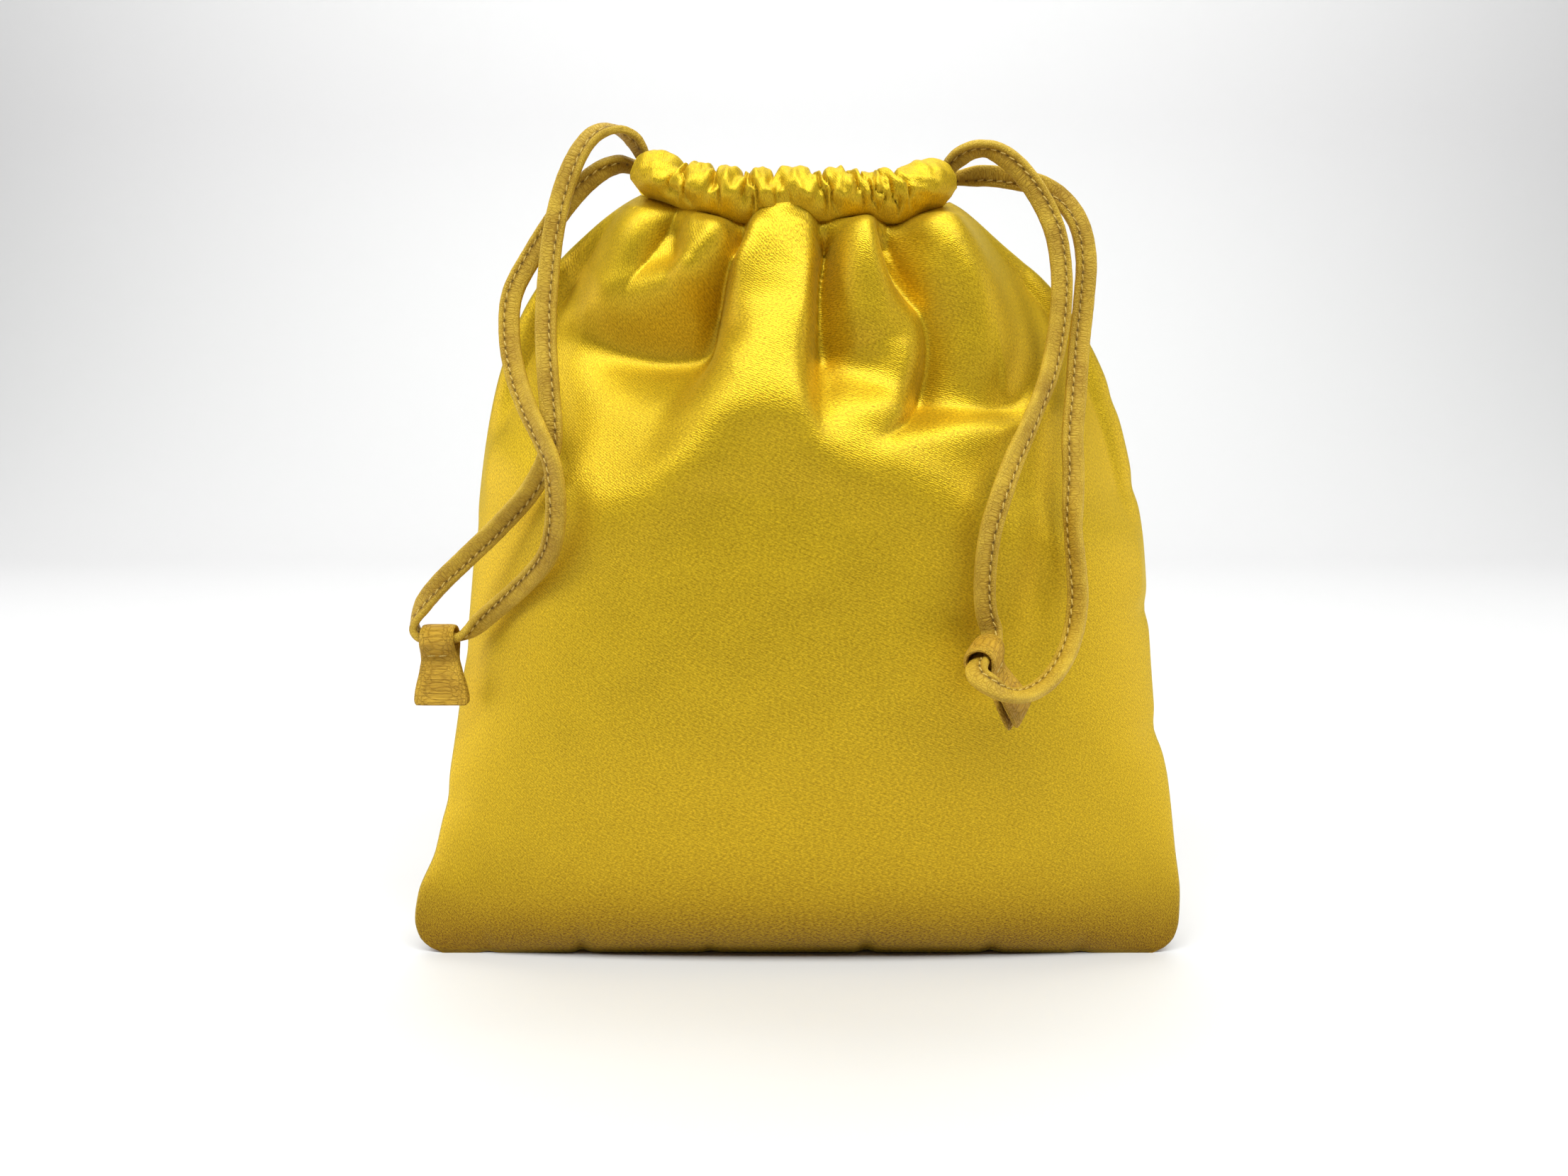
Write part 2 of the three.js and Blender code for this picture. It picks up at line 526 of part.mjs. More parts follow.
// Carries the ends of a run out to the two ends of its loop, stopping short by the gap
function joined(rows, loop, flip) {
  const tail = (end, next) => {
    const at = new THREE.Vector3(end.x, end.y, end.z);
    const way = new THREE.Vector3(next.x, next.y, next.z).sub(at).normalize();
    return [RUN_TAIL, SEAM_GAP + 0.1].map((back) => {
      const p = at.clone().addScaledVector(way, -back);
      return { x: p.x, y: p.y, z: p.z, fx: 0, fy: -1, fz: 0 };
    });
  };
  const first = tail(loop[0], loop[1]);
  const last = tail(loop[loop.length - 1], loop[loop.length - 2]);
  const [head, foot] = flip ? [last, first] : [first, last];
  return [...head.reverse(), ...rows, ...foot];
}

// Tabs
function tab(centre, axis, lean) {
  const mirrored = (rows) => [...rows].reverse().map((p) => new THREE.Vector2(-p.half, -p.drop));
  const plain = (rows) => rows.map((p) => new THREE.Vector2(p.half, -p.drop));
  const slit = [...plain(TAB_SLIT), ...mirrored(TAB_SLIT)];
  const outline = new THREE.Shape([...mirrored(TAB_OUTSIDE), ...plain(TAB_OUTSIDE), ...slit]);
  outline.holes.push(new THREE.Path([...mirrored(TAB_HOLE), ...plain(TAB_HOLE)].reverse()));
  const geometry = new THREE.ExtrudeGeometry(outline, { depth: 1, steps: 1, bevelEnabled: false });
  const position = geometry.getAttribute('position');
  for (let k = 0; k < position.count; k += 1) {
    const width = spline(TAB_WIDTHS, 'drop', 'width', -position.getY(k));
    position.setZ(k, (position.getZ(k) - 0.5) * width);
  }
  const up = lean.clone().addScaledVector(axis, -lean.dot(axis)).normalize();
  const face = up.clone().cross(axis);
  const frame = new THREE.Matrix4().makeBasis(face, up, axis);
  frame.setPosition(centre.clone().addScaledVector(up, TAB_CORD_DROP));
  return geometry.applyMatrix4(frame);
}

const group = new THREE.Group();
const add = (name, geometry, material) => {
  const mesh = new THREE.Mesh(geometry, material.clone());
  mesh.name = name;
  group.add(mesh);
};
add('front_panel', panel(FRONT_RISE, -1, FRONT_FOLDS, FRONT_SHARES, FRONT_COLUMNS), satin);
add('back_panel', panel(BACK_RISE, 1, BACK_FOLDS, BACK_SHARES, BACK_COLUMNS), satin);
add('front_channel', channel(SLIT_SHARE, 0.5 - SLIT_SHARE, 0.4), satin);
add('back_channel', channel(0.5 + SLIT_SHARE, 1 - SLIT_SHARE, 1.9), satin);
add('left_drawcord', sweep(LEFT_LOOP, STRAP_WIDTH / 2, STRAP_THICKNESS / 2, 0.76), leather);
add('right_drawcord', sweep(RIGHT_LOOP, STRAP_WIDTH / 2, STRAP_THICKNESS / 2, 0.76), leather);
add('left_drawcord_run', sweep(joined(run(0), LEFT_LOOP, false), RUN_RADIUS, RUN_RADIUS, 0.42), leather);
add('right_drawcord_run', sweep(joined(run(0.5), RIGHT_LOOP, true), RUN_RADIUS, RUN_RADIUS, 0.42), leather);
add('left_tab', tab(new THREE.Vector3(-80.4, -11.5, 74.7), new THREE.Vector3(1, 0, 0),
  new THREE.Vector3(0, 0, 1)), leather);
add('right_tab', tab(new THREE.Vector3(38.0, -37.0, 75.9), RIGHT_TAB_AXIS, RIGHT_TAB_LEAN), leather);

export default group;
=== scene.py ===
# %% [markdown]
# A drawstring pouch, dressed for the camera
#
# The pouch is two satin panels sewn together at the sides and the bottom, a gathered channel round the
# mouth, and two flat leather drawcords that run through the channel and end in folded leather tabs.
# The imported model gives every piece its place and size. This lesson lays fine cloth and leather over it.
# Each piece is a formula on a grid of points, worked out with numpy in one go, so that a crease or a
# stitch can be moved by changing one number in a table. All tables are in millimetres.

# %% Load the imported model
import math

import bpy
import numpy as np
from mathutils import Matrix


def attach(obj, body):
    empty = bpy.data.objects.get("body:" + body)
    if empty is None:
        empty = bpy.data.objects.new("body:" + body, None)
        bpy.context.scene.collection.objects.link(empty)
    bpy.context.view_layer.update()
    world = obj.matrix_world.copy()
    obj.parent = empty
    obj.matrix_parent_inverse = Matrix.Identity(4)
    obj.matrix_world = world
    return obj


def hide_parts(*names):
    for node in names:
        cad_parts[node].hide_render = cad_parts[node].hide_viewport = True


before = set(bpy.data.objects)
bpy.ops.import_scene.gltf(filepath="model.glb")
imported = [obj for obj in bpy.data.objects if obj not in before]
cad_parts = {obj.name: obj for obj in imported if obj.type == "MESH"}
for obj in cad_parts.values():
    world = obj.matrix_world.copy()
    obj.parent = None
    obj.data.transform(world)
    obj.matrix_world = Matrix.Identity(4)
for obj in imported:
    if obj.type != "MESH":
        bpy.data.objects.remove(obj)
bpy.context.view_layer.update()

MM = 0.001
scene = bpy.context.scene
print("packed nodes:", ", ".join(sorted(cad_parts)))

# %% [markdown]
# The camera
#
# The picture was taken from just above the middle of the pouch, close up and tilted a little downwards.
# The tilt shows in how far the far edge of the table climbs. A lens of about 29 mm on a full frame gives
# the same strength of perspective. The camera comes first.

# %% Place the camera
FOCAL_PIXELS, FRAME_WIDTH, TILT_PIXELS = 1800.0, 2212.0, 254.5
SENSOR_WIDTH = 36.0
camera_data = bpy.data.cameras.new("camera")
camera_data.sensor_width = SENSOR_WIDTH
camera_data.lens = SENSOR_WIDTH * FOCAL_PIXELS / FRAME_WIDTH
camera = bpy.data.objects.new("camera", camera_data)
camera.location = (-0.003, -0.294, 0.126)
camera.rotation_euler = (math.pi / 2 - math.atan(TILT_PIXELS / FOCAL_PIXELS), 0.0, 0.0)
scene.collection.objects.link(camera)
scene.camera = camera
print("lens", round(camera_data.lens, 2), "mm")

# %% [markdown]
# Tools for the bench
#
# Three small tools do nearly all the work. One draws a smooth curve through a table, one draws a smooth
# path through points in space, and one turns arrays of points and faces into a mesh. They never loop over
# single points: numpy handles a whole table or grid at once, which is faster and shorter.

# %% Smooth curves
def ease(x):
    """The S-shaped step: 0 below 0, 1 above 1, and 3x^2 - 2x^3 in between."""
    x = np.clip(x, 0.0, 1.0)
    return x * x * (3.0 - 2.0 * x)


def curve_through(rows, column, at):
    """Cubic pieces through a table, keyed by its first column, whose slope at each row is the weighted
    harmonic mean of its neighbours' slopes, so that the curve never overshoots a row."""
    rows = np.asarray(rows, float)
    x, y = rows[:, 0], rows[:, column]
    h = np.diff(x)
    slope = np.diff(y) / h
    tangent = np.zeros_like(x)
    tangent[0], tangent[-1] = slope[0], slope[-1]
    a, b = slope[:-1], slope[1:]
    w1, w2 = 2 * h[1:] + h[:-1], h[1:] + 2 * h[:-1]
    same = a * b > 0
    tangent[1:-1][same] = (w1 + w2)[same] / (w1[same] / a[same] + w2[same] / b[same])
    at = np.clip(at, x[0], x[-1])
    i = np.clip(np.searchsorted(x, at) - 1, 0, len(h) - 1)
    s = (at - x[i]) / h[i]
    return ((1 + 2 * s) * (1 - s) ** 2 * y[i] + s * (1 - s) ** 2 * h[i] * tangent[i]
            + s * s * (3 - 2 * s) * y[i + 1] + s * s * (s - 1) * h[i] * tangent[i + 1])


def path_through(points, steps, closed=False):
    """Centripetal Catmull-Rom: each span is a cubic whose end slopes come from the four points around it,
    with the knots spaced by the square root of the distance. Returns steps points for each span."""
    p = np.asarray(points, float)
    q = np.vstack([p[-1:], p, p[:2]]) if closed else np.vstack([2 * p[0] - p[1], p, 2 * p[-1] - p[-2]])
    p0, p1, p2, p3 = q[:-3], q[1:-2], q[2:-1], q[3:]
    d0, d1, d2 = (np.linalg.norm(b - a, axis=1)[:, None] ** 0.5 for a, b in ((p0, p1), (p1, p2), (p2, p3)))
    m1 = ((p1 - p0) / d0 - (p2 - p0) / (d0 + d1) + (p2 - p1) / d1) * d1
    m2 = ((p2 - p1) / d1 - (p3 - p1) / (d1 + d2) + (p3 - p2) / d2) * d1
    s = np.linspace(0, 1, steps, endpoint=False)[None, :, None]
    a, b, c, d = (v[:, None, :] for v in (p1, p2, m1, m2))
    line = ((2 * s ** 3 - 3 * s ** 2 + 1) * a + (s ** 3 - 2 * s ** 2 + s) * c
            + (3 * s ** 2 - 2 * s ** 3) * b + (s ** 3 - s ** 2) * d).reshape(-1, p.shape[1])
    return line if closed else np.vstack([line, p[-1]])


def walked(line):
    """Distance walked along a line of points, starting from 0."""
    return np.concatenate([[0.0], np.cumsum(np.linalg.norm(np.diff(line, axis=0), axis=1))])


def picked(at, far, values):
    """The columns of values, read off at the places at of a walk far."""
    return np.stack([np.interp(at, far, column) for column in values.T], axis=1)


def resample(line, count, *others):
    """The line, and any values that go with its points, at count places an equal walk apart."""
    far = walked(line)
    at = np.linspace(0, far[-1], count)
    return [picked(at, far, v) for v in (line, *others)]


def unit(v):
    """Each vector divided by its own length."""
    return v / np.maximum(np.linalg.norm(v, axis=-1, keepdims=True), 1e-9)


# %% Grids into meshes
def faces_of(*corners):
    """Faces from one array of point numbers for each corner."""
    return np.stack(corners, -1).reshape(-1, len(corners))


def sheet_faces(rows, columns):
    """Four-sided faces of a plain grid of points."""
    r, c = np.meshgrid(np.arange(rows - 1) * columns, np.arange(columns - 1), indexing="ij")
    return faces_of(r + c, r + c + 1, r + columns + c + 1, r + columns + c)


def tube_faces(rows, columns):
    """Four-sided faces of rings joined one to the next, and their corners on a map one column wider."""
    r, c = np.meshgrid(np.arange(rows - 1) * columns, np.arange(columns), indexing="ij")
    n = (c + 1) % columns
    return faces_of(r + c, r + n, r + columns + n, r + columns + c), sheet_faces(rows, columns + 1)


def tube_map(along, around):
    """The map of a tube: a UV pair for each way along it and each way around it."""
    return np.stack(np.meshgrid(along, around, indexing="ij"), -1).reshape(-1, 2)


def new_piece(name, points, faces, corner_uv, masks=()):
    """One mesh object at the origin: points in millimetres, a list of face arrays, a UV pair for every face
    corner, and named values for every point."""
    mesh = bpy.data.meshes.new(name)
    mesh.from_pydata((points * MM).tolist(), [], [f for block in faces for f in block.tolist()])
    layer = mesh.uv_layers.new(name="cloth_map")
    layer.data.foreach_set("uv", np.asarray(corner_uv, np.float32).ravel())
    for mask, values in dict(masks).items():
        mesh.attributes.new(mask, "FLOAT", "POINT").data.foreach_set("value", np.asarray(values, np.float32).ravel())
    mesh.polygons.foreach_set("use_smooth", np.ones(len(mesh.polygons), bool))
    mesh.update()
    piece = bpy.data.objects.new(name, mesh)
    scene.collection.objects.link(piece)
    triangles = sum((b.shape[1] - 2) * len(b) for b in faces)
    print(f"{name}: {len(points)} points, {triangles} triangles")
    return piece


# %% [markdown]
# Leather drawcords
#
# Each drawcord is a strip of leather folded over and stitched flat, 4.6 mm wide and about 2 mm thick. It is
# stiff enough to stand up in an arch where it leaves the channel, and then it hangs, twists and crosses
# itself. A curve with a bevel would give a round cord, so a flat profile is carried along the path instead,
# with a table that says which way the flat side faces at each place. That makes the twists easy to follow.

# %% Routes of the two drawcords, with the way the flat side faces
STRAP_WIDTH, STRAP_THICKNESS = 4.6, 2.0
# Where the first stitch of a strap lies, and the step from stitch to stitch, in millimetres along it
STITCH_START, STITCH_STEP = 4.0, 2.2
LEFT_LOOP = np.array([
    [-33.6, -2.2, 180, .45, .6, .66], [-35.8, -3.8, 183.8, .45, .6, .66], [-38.2, -5.2, 185.5, .2, .1, .95],
    [-41, -6.3, 185.8, -.15, -.5, .85], [-43.9, -7.2, 184.6, -.4, -.8, .4], [-46.5, -8.2, 181.6, -.4, -.9, .2],
    [-49.6, -9.4, 175.2, -.2, -1, 0], [-52.4, -10.8, 165, 0, -1, 0], [-53.9, -13.2, 151.4, 0, -1, 0],
    [-54, -16, 141.8, 0, -1, 0], [-53, -19.6, 130.8, 0, -1, 0], [-52.2, -21.8, 121.6, 0, -1, 0],
    [-52.7, -22.2, 116.6, .1, -.95, -.1], [-57, -20.6, 108.8, .25, -.9, -.25],
    [-64.3, -17.4, 101.1, .25, -.9, -.25], [-73.4, -14.2, 92.9, .1, -.95, -.1], [-79.6, -12.5, 87.2, -.2, -.95, 0],
    [-83.6, -11.8, 82.6, -.6, -.8, 0], [-85.7, -11.6, 78.8, -1, -.3, 0], [-85.9, -11.5, 76.6, -1, 0, -.3],
    [-84.7, -11.5, 75, -.45, 0, -.9], [-82.6, -11.5, 74.7, 0, 0, -1], [-78, -11.5, 74.7, 0, 0, -1],
    [-75.6, -11.6, 75, .2, -.1, -1], [-73.4, -12.1, 76.2, .4, -.5, -.75], [-70.4, -13, 78.9, .3, -.9, -.35],
    [-62.2, -17, 85.7, 0, -1, 0], [-57.4, -20.4, 90.1, -.1, -1, 0], [-53.4, -23.8, 94.8, -.2, -1, 0],
    [-51.2, -26.8, 100.8, -.25, -1, 0], [-50.6, -28, 107.6, -.35, -.95, 0], [-51.3, -27.6, 114.4, -.6, -.8, 0],
    [-53.8, -25.4, 119.8, -.6, -.8, 0], [-57.4, -21, 126, -.3, -.95, 0], [-60.9, -15.6, 133.6, 0, -1, 0],
    [-62.9, -10.8, 142.1, 0, -1, 0], [-62.5, -8.2, 150.6, 0, -1, 0], [-58, -6.6, 159.4, 0, -1, 0],
    [-51.4, -5.6, 169.2, .1, -.95, -.2], [-46.4, -4.9, 174.8, .2, -.85, -.45], [-42.5, -3.8, 177.8, .1, -.75, -.65],
    [-39.4, -1.6, 179.2, 0, -.75, -.65], [-36.6, 1.2, 179.2, 0, -.8, -.6]])
RIGHT_LOOP = np.array([
    [32.4, -2.2, 177.4, .2, -.8, -.55], [35, -4, 180, .2, -.8, -.55], [38, -5.6, 181.5, .15, -.6, -.75],
    [41, -6.9, 181.5, 0, -.5, -.85], [44.3, -8, 179.9, -.35, -.75, -.5], [47.6, -9.1, 177, -.4, -.85, -.3],
    [52, -10.5, 170.8, -.25, -.95, -.1], [55.3, -11.4, 163.6, 0, -1, 0], [56.8, -12.2, 155, 0, -1, 0],
    [56.7, -13.2, 147, 0, -1, 0], [55.5, -15.2, 139.7, .15, -1, 0], [53.3, -18.4, 132.4, .5, -.85, .1],
    [50.5, -22, 126.5, .8, -.6, .2], [47.7, -25.6, 121.1, .6, -.8, .1], [44.6, -29.2, 115.5, .3, -.95, 0],
    [41.6, -32.8, 108.6, 0, -1, 0], [39.4, -34, 101.6, 0, -1, 0], [38.6, -33, 94, 0, -1, 0],
    [38.8, -31.4, 86.6, 0, -1, 0], [39.6, -30.4, 82.4, 0, -1, .1], [40.5, -30.1, 79.9, -.1, -1, .2],
    [40.4, -31.4, 78, -.25, -.6, .7], [39.7, -33.4, 77.2, -.45, -.1, .88], [36.3, -40.6, 74.6, -.45, -.1, .88],
    [35.6, -42.8, 74, -.35, -.35, .85], [35.8, -44.8, 73, -.3, -.55, .75], [37.4, -46.6, 71.9, -.1, -.75, .65],
    [40.2, -46.2, 70.2, 0, -.6, .8], [44.1, -43.6, 68.8, 0, -.35, .95], [48.6, -40, 69.3, -.25, -.35, .9],
    [52.4, -36.7, 71.5, -.5, -.5, .7], [55.8, -32.8, 75.3, -.6, -.65, .4], [58.1, -29.2, 80, -.65, -.75, .1],
    [59.2, -26.8, 86, -.6, -.8, 0], [59, -25.6, 92, -.7, -.7, 0], [58.3, -24.4, 100.4, -.85, -.5, 0],
    [58.4, -23, 106, -.5, -.85, 0], [58.8, -20.8, 112.6, -.1, -1, 0], [58.8, -18.8, 119.6, 0, -1, 0],
    [60, -15.4, 128.9, 0, -1, 0], [61.6, -10.2, 140.2, 0, -1, 0], [62.9, -7.5, 149.6, 0, -1, 0],
    [63.3, -6.5, 158.6, 0, -1, 0], [61.6, -6, 165.9, .2, -.95, 0], [58.2, -5.5, 170.8, .3, -.9, 0],
    [53.4, -4.9, 174, .1, -.95, -.1], [47.5, -3.8, 175.7, 0, -.95, -.2], [41.4, -1.6, 176.8, 0, -.95, -.25],
    [35.6, 1.4, 176.8, 0, -.95, -.25]])
LOOPS = {"left": LEFT_LOOP, "right": RIGHT_LOOP}


def route(loop, spacing):
    """The smooth path through a loop's points with the face direction carried along it, squared to the path:
    returns the middle of the strap, its tangent, its width direction (face x tangent) and its face direction."""
    line = path_through(loop[:, :3], 24)
    face = picked(np.linspace(0, len(loop) - 1, len(line)), np.arange(len(loop)), loop[:, 3:])
    middle, face = resample(line, int(walked(line)[-1] / spacing), face)
    tangent = unit(np.gradient(middle, axis=0))
    face = unit(face - np.sum(face * tangent, axis=1, keepdims=True) * tangent)
    return middle, tangent, np.cross(face, tangent), face


for side, loop in LOOPS.items():
    print(side, "drawcord outside the channel:", round(walked(path_through(loop[:, :3], 24))[-1], 1), "mm")

# %% [markdown]
# A flat strip of leather, whatever it becomes
#
# The drawcords and the tabs are both cut from a flat strip with soft, rolled edges, so one function makes
# both: a rounded rectangle carried along a path. The profile is a superellipse, which is a circle whose
# sine and cosine are raised to a power below 1. A drawcord also has a shallow groove, where the stitching
# pulls the two layers together.

# %% The strip
# The stitch groove: how deep and how wide it is, and where it lies as a share of the half width
GROOVE_DEPTH, GROOVE_WIDTH, GROOVE_AT = 0.26, 0.42, 0.38
# The powers that square the profile, across and through, and the length over which a drawcord's end is bunched
SQUARE_ACROSS, SQUARE_THROUGH, BUNCHED = 0.55, 0.62, 5.0


def strip(name, middle, width_way, face_way, half_width, half_thick, sides, groove, ripple):
    """A closed strip: at each place of the path, a superellipse with half_width across and half_thick along
    the face, with a bell-shaped groove on both faces, and small waves that run along the edges. Both ends are
    closed by a fan round a middle point."""
    count = len(middle)
    a = np.linspace(0, 2 * np.pi, sides, endpoint=False)
    across_it = np.sign(np.cos(a)) * np.abs(np.cos(a)) ** SQUARE_ACROSS
    through_it = np.sign(np.sin(a)) * np.abs(np.sin(a)) ** SQUARE_THROUGH
    far, half_width, half_thick = (v[:, None] for v in (walked(middle), half_width, half_thick))
    bell = np.exp(-((across_it - GROOVE_AT) * half_width / GROOVE_WIDTH) ** 2)
    wave = ripple * (np.sin(far * 1.9 + 3 * across_it + 1.3 * np.sin(far * 0.21)) * 0.6
                     + np.sin(far * 3.3 - 2 * across_it + 2.0) * 0.4)
    x = across_it * (half_width + 0.6 * wave)
    y = through_it * np.maximum(half_thick + wave - groove * bell, 0.2)
    points = middle[:, None] + x[..., None] * width_way[:, None] + y[..., None] * face_way[:, None]
    faces, corners = tube_faces(count, sides)
    i = np.arange(sides)
    n, last, tip = (i + 1) % sides, (count - 1) * sides, i * 0 + count * sides
    fans = np.vstack([faces_of(tip, n, i), faces_of(tip + 1, last + i, last + n)])
    uv = tube_map(far[:, 0], np.linspace(0, 2 * np.pi, sides + 1) * np.mean(half_width) * 0.8)
    masks = {"rim": np.append(np.tile(np.abs(across_it) ** 3, count), [0.5, 0.5]),
             "groove": np.append(bell * (groove > 0), [0.0, 0.0])}
    return new_piece(name, np.vstack([points.reshape(-1, 3), middle[0], middle[-1]]), [faces, fans],
                     np.vstack([uv[corners].reshape(-1, 2), np.zeros((fans.size, 2))]), masks)


def drawcord(name, loop):
    """A strap of even width that narrows near both ends, where it is bunched into the channel."""
    middle, tangent, width_way, face_way = route(loop, 0.6)
    far = walked(middle)
    near_end = ease(np.minimum(far, far[-1] - far) / BUNCHED)
    half_width = STRAP_WIDTH / 2 * (0.72 + 0.28 * near_end)
    half_thick = STRAP_THICKNESS / 2 * (1.1 - 0.1 * near_end)
    piece = strip(name, middle, width_way, face_way, half_width, half_thick, 36, GROOVE_DEPTH, 0.035)
    return piece, (middle, tangent, width_way, face_way, half_width)


straps, ways = {}, {}
for side, loop in LOOPS.items():
    straps[side], ways[side] = drawcord(side + "_drawcord_strap", loop)

# %% [markdown]
# Stitches on the drawcords
#
# A line of gold thread runs along each strap, a third of the way in from one edge, and shows on both faces.
# Every stitch is a short lens of thread that sits in the groove, a little slanted, as a sewing machine
# leaves it. One small lens is worked out once and then copied to every place in a single array.

# %% Thread lenses
# How far from the middle of a strap its stitches lie
STITCH_SEAT = 0.74


def stitches(name, middle, tangent, width_way, face_way, length=1.5, radius=0.18, slant=0.2):
    """Copies of one lens, a six-sided tube whose radius follows the square root of 1 - s^4, laid along the
    tangent at each given place and turned by slant towards the width direction."""
    count, rings, sides = len(middle), 7, 6
    s = np.linspace(-1, 1, rings)
    a = np.linspace(0, 2 * np.pi, sides, endpoint=False)
    girth = radius * np.sqrt(np.maximum(1 - s ** 4, 0.02))[:, None]
    along = np.repeat(s[:, None] * length / 2, sides, axis=1)
    over = girth * np.cos(a)
    out = girth * np.sin(a) + radius * 0.5 * (1 - s[:, None] ** 2)
    way = unit(tangent + slant * width_way)
    aside = unit(np.cross(face_way, way))
    points = middle[:, None, None] + sum(far[None, ..., None] * v[:, None, None]
                                         for far, v in ((along, way), (over, aside), (out, face_way)))
    face, corner = tube_faces(rings, sides)
    start = np.arange(count)[:, None, None] * rings * sides
    i = np.arange(sides)
    caps = np.stack([i[::-1], (rings - 1) * sides + i]) + start
    uv = tube_map(s * length / 2, np.linspace(0, 1, sides + 1))[corner].reshape(-1, 2)
    return new_piece(name, points.reshape(-1, 3), [(face + start).reshape(-1, 4), caps.reshape(-1, sides)],
                     np.vstack([np.tile(uv, (count, 1)), np.zeros((caps.size, 2))]))


def strap_stitches(name, middle, tangent, width_way, face_way, half_width):
    """Stitches along both faces of a strap, in its groove, clear of its two ends."""
    far = walked(middle)
    at = np.arange(STITCH_START, far[-1] - STITCH_START, STITCH_STEP)
    place, along, aside, face = (picked(at, far, v) for v in (middle, tangent, width_way, face_way))
    line = place + aside * (GROOVE_AT * np.interp(at, far, half_width))[:, None]
    return stitches(name, np.vstack([line + face * STITCH_SEAT, line - face * STITCH_SEAT]),
                    np.vstack([along, along]), np.vstack([aside, aside]), np.vstack([face, -face]))


threads = {side: strap_stitches(side + "_drawcord_stitches", *ways[side]) for side in LOOPS}

# %% [markdown]
# Folded leather tabs
#
# A tab is a short strip of thicker leather, folded in half over the strap and caught by a stitch under it.
# It flares towards its cut end, where the two layers stand a little apart. It is the same strip as before:
# here the path is the tab's own profile, from the end of one layer, up over the fold and down to the end of
# the other, and the width grows with the distance below the fold.

# %% Tab profile and widths
TAB_MIDLINE = np.array([[.92, 18.4], [.84, 15.0], [.7, 11.0], [.66, 8.0], [1.15, 6.8], [2.3, 5.1], [2.98, 3.6],
                        [2.82, 2.2], [1.8, 1.05], [0, .6]])
TAB_WIDTHS = [[0, 7.4], [3, 7.7], [7.8, 8.4], [11, 9.6], [15, 11.6], [18.5, 12.6]]
TAB_THICKNESS, TAB_CORD_DROP = 1.15, 3.2


def tab(name, centre, axis, lean):
    """The folded strip: profile points (half, drop) are laid out along the tab's thickness and its up
    direction, and the strip's width runs along the axis of the strap that it holds."""
    axis = unit(np.array(axis, float))
    up = unit(np.array(lean, float) - np.dot(lean, axis) * axis)
    thick = np.cross(up, axis)
    profile = path_through(np.vstack([TAB_MIDLINE, (TAB_MIDLINE * [-1, 1])[-2::-1]]), 12)
    profile, = resample(profile, 110)
    flow = unit(np.gradient(profile, axis=0))
    normal = np.stack([-flow[:, 1], flow[:, 0]], axis=1)
    lay = lambda v: v[:, :1] * thick + v[:, 1:] * -up
    top = np.asarray(centre, float) + TAB_CORD_DROP * up
    far = walked(profile)
    corner = 1 - 0.1 * np.exp(-np.minimum(far, far[-1] - far) / 0.5)
    half_width = curve_through(TAB_WIDTHS, 1, profile[:, 1]) / 2 * corner
    half_thick = np.full(len(profile), TAB_THICKNESS / 2)
    width_way = np.repeat(axis[None], len(profile), axis=0)
    piece = strip(name, top + lay(profile), width_way, lay(normal), half_width, half_thick, 44, 0.0, 0.03)
    return piece, (top, thick, up, axis)


# For each tab: the middle of the strap in its fold, the way that strap runs, and the way the tab leans
TAB_PLACES = {"left": ((-80.4, -11.5, 74.7), (1, 0, 0), (0, 0, 1)),
              "right": ((38.0, -37.0, 75.9), (0.4, 0.86, 0.3), (-0.49, 0, 0.87))}
tabs, tab_ways = {}, {}
for side, place in TAB_PLACES.items():
    tabs[side], tab_ways[side] = tab(side + "_tab_leather", *place)

# The two catch stitches: where they lie across the tab, how far below its fold, and how far out from its middle
CATCH_PLACES, CATCH_DROP, CATCH_OUT = np.array([[-1.5], [1.0]]), 6.9, 1.55


def tab_stitches(name, top, thick, up, axis):
    """Two stitches across each face of a tab, under the strap that it holds."""
    line = top - CATCH_DROP * up + CATCH_PLACES * axis
    return stitches(name, np.vstack([line + CATCH_OUT * thick, line - CATCH_OUT * thick]), np.tile(axis, (4, 1)),
                    np.tile(up, (4, 1)), np.vstack([thick, thick, -thick, -thick]), 2.2, 0.26, 0.1)


catches = {side: tab_stitches(side + "_tab_stitches", *tab_ways[side]) for side in LOOPS}

# %% [markdown]
# Satin panels
#
# Two layers of satin with a thin wadding make each panel, and soft stuffing fills the pouch out. The plain
# form is a pillow: its outline comes from a table of edges, and its depth from a table of bulges, with a
# rounded crown from seam to seam. A cloth simulation could fold it, but its folds fall where they like, and
# these folds are the pouch's character. So each fold is placed one by one, as a tailor would pin it.

# %% Outline, depth and gather line
EDGES = [[0, -82.6, 83.0, -11.0], [1.5, -85.8, 86.0, -10.9], [4, -88, 88, -10.8], [8, -89, 89, -10.4],
         [14, -88.2, 89.2, -9.7], [24, -84.2, 88.2, -8], [40, -81.3, 86.6, -5.5], [55, -79, 83.6, -3.5],
         [75, -76.6, 82, -1], [95, -74.6, 80.4, .5], [115, -72, 76.2, 1], [130, -68.8, 71.6, .8],
         [145, -63.2, 64, .5], [156, -56, 55, .3], [165, -45.2, 43, 0], [172, -35, 34, 0]]
FRONT_RISE = [[0, 0, 0, 0], [.023, 4, 4, 4.8], [.058, 10, 10, 9.5], [.116, 20, 20, 14.5], [.209, 36, 36, 20],
              [.326, 56, 56, 25.5], [.453, 78, 78, 29], [.57, 98, 98, 30.3], [.651, 112, 112, 30.2],
              [.721, 124, 124, 28.6], [.791, 136, 136, 25.6], [.872, 150, 150, 21.6], [.93, 160, 160, 18.6],
              [.965, 166, 166, 16.4], [.985, 169.5, 169.5, 14.8], [1, 172, 172, 12.6]]
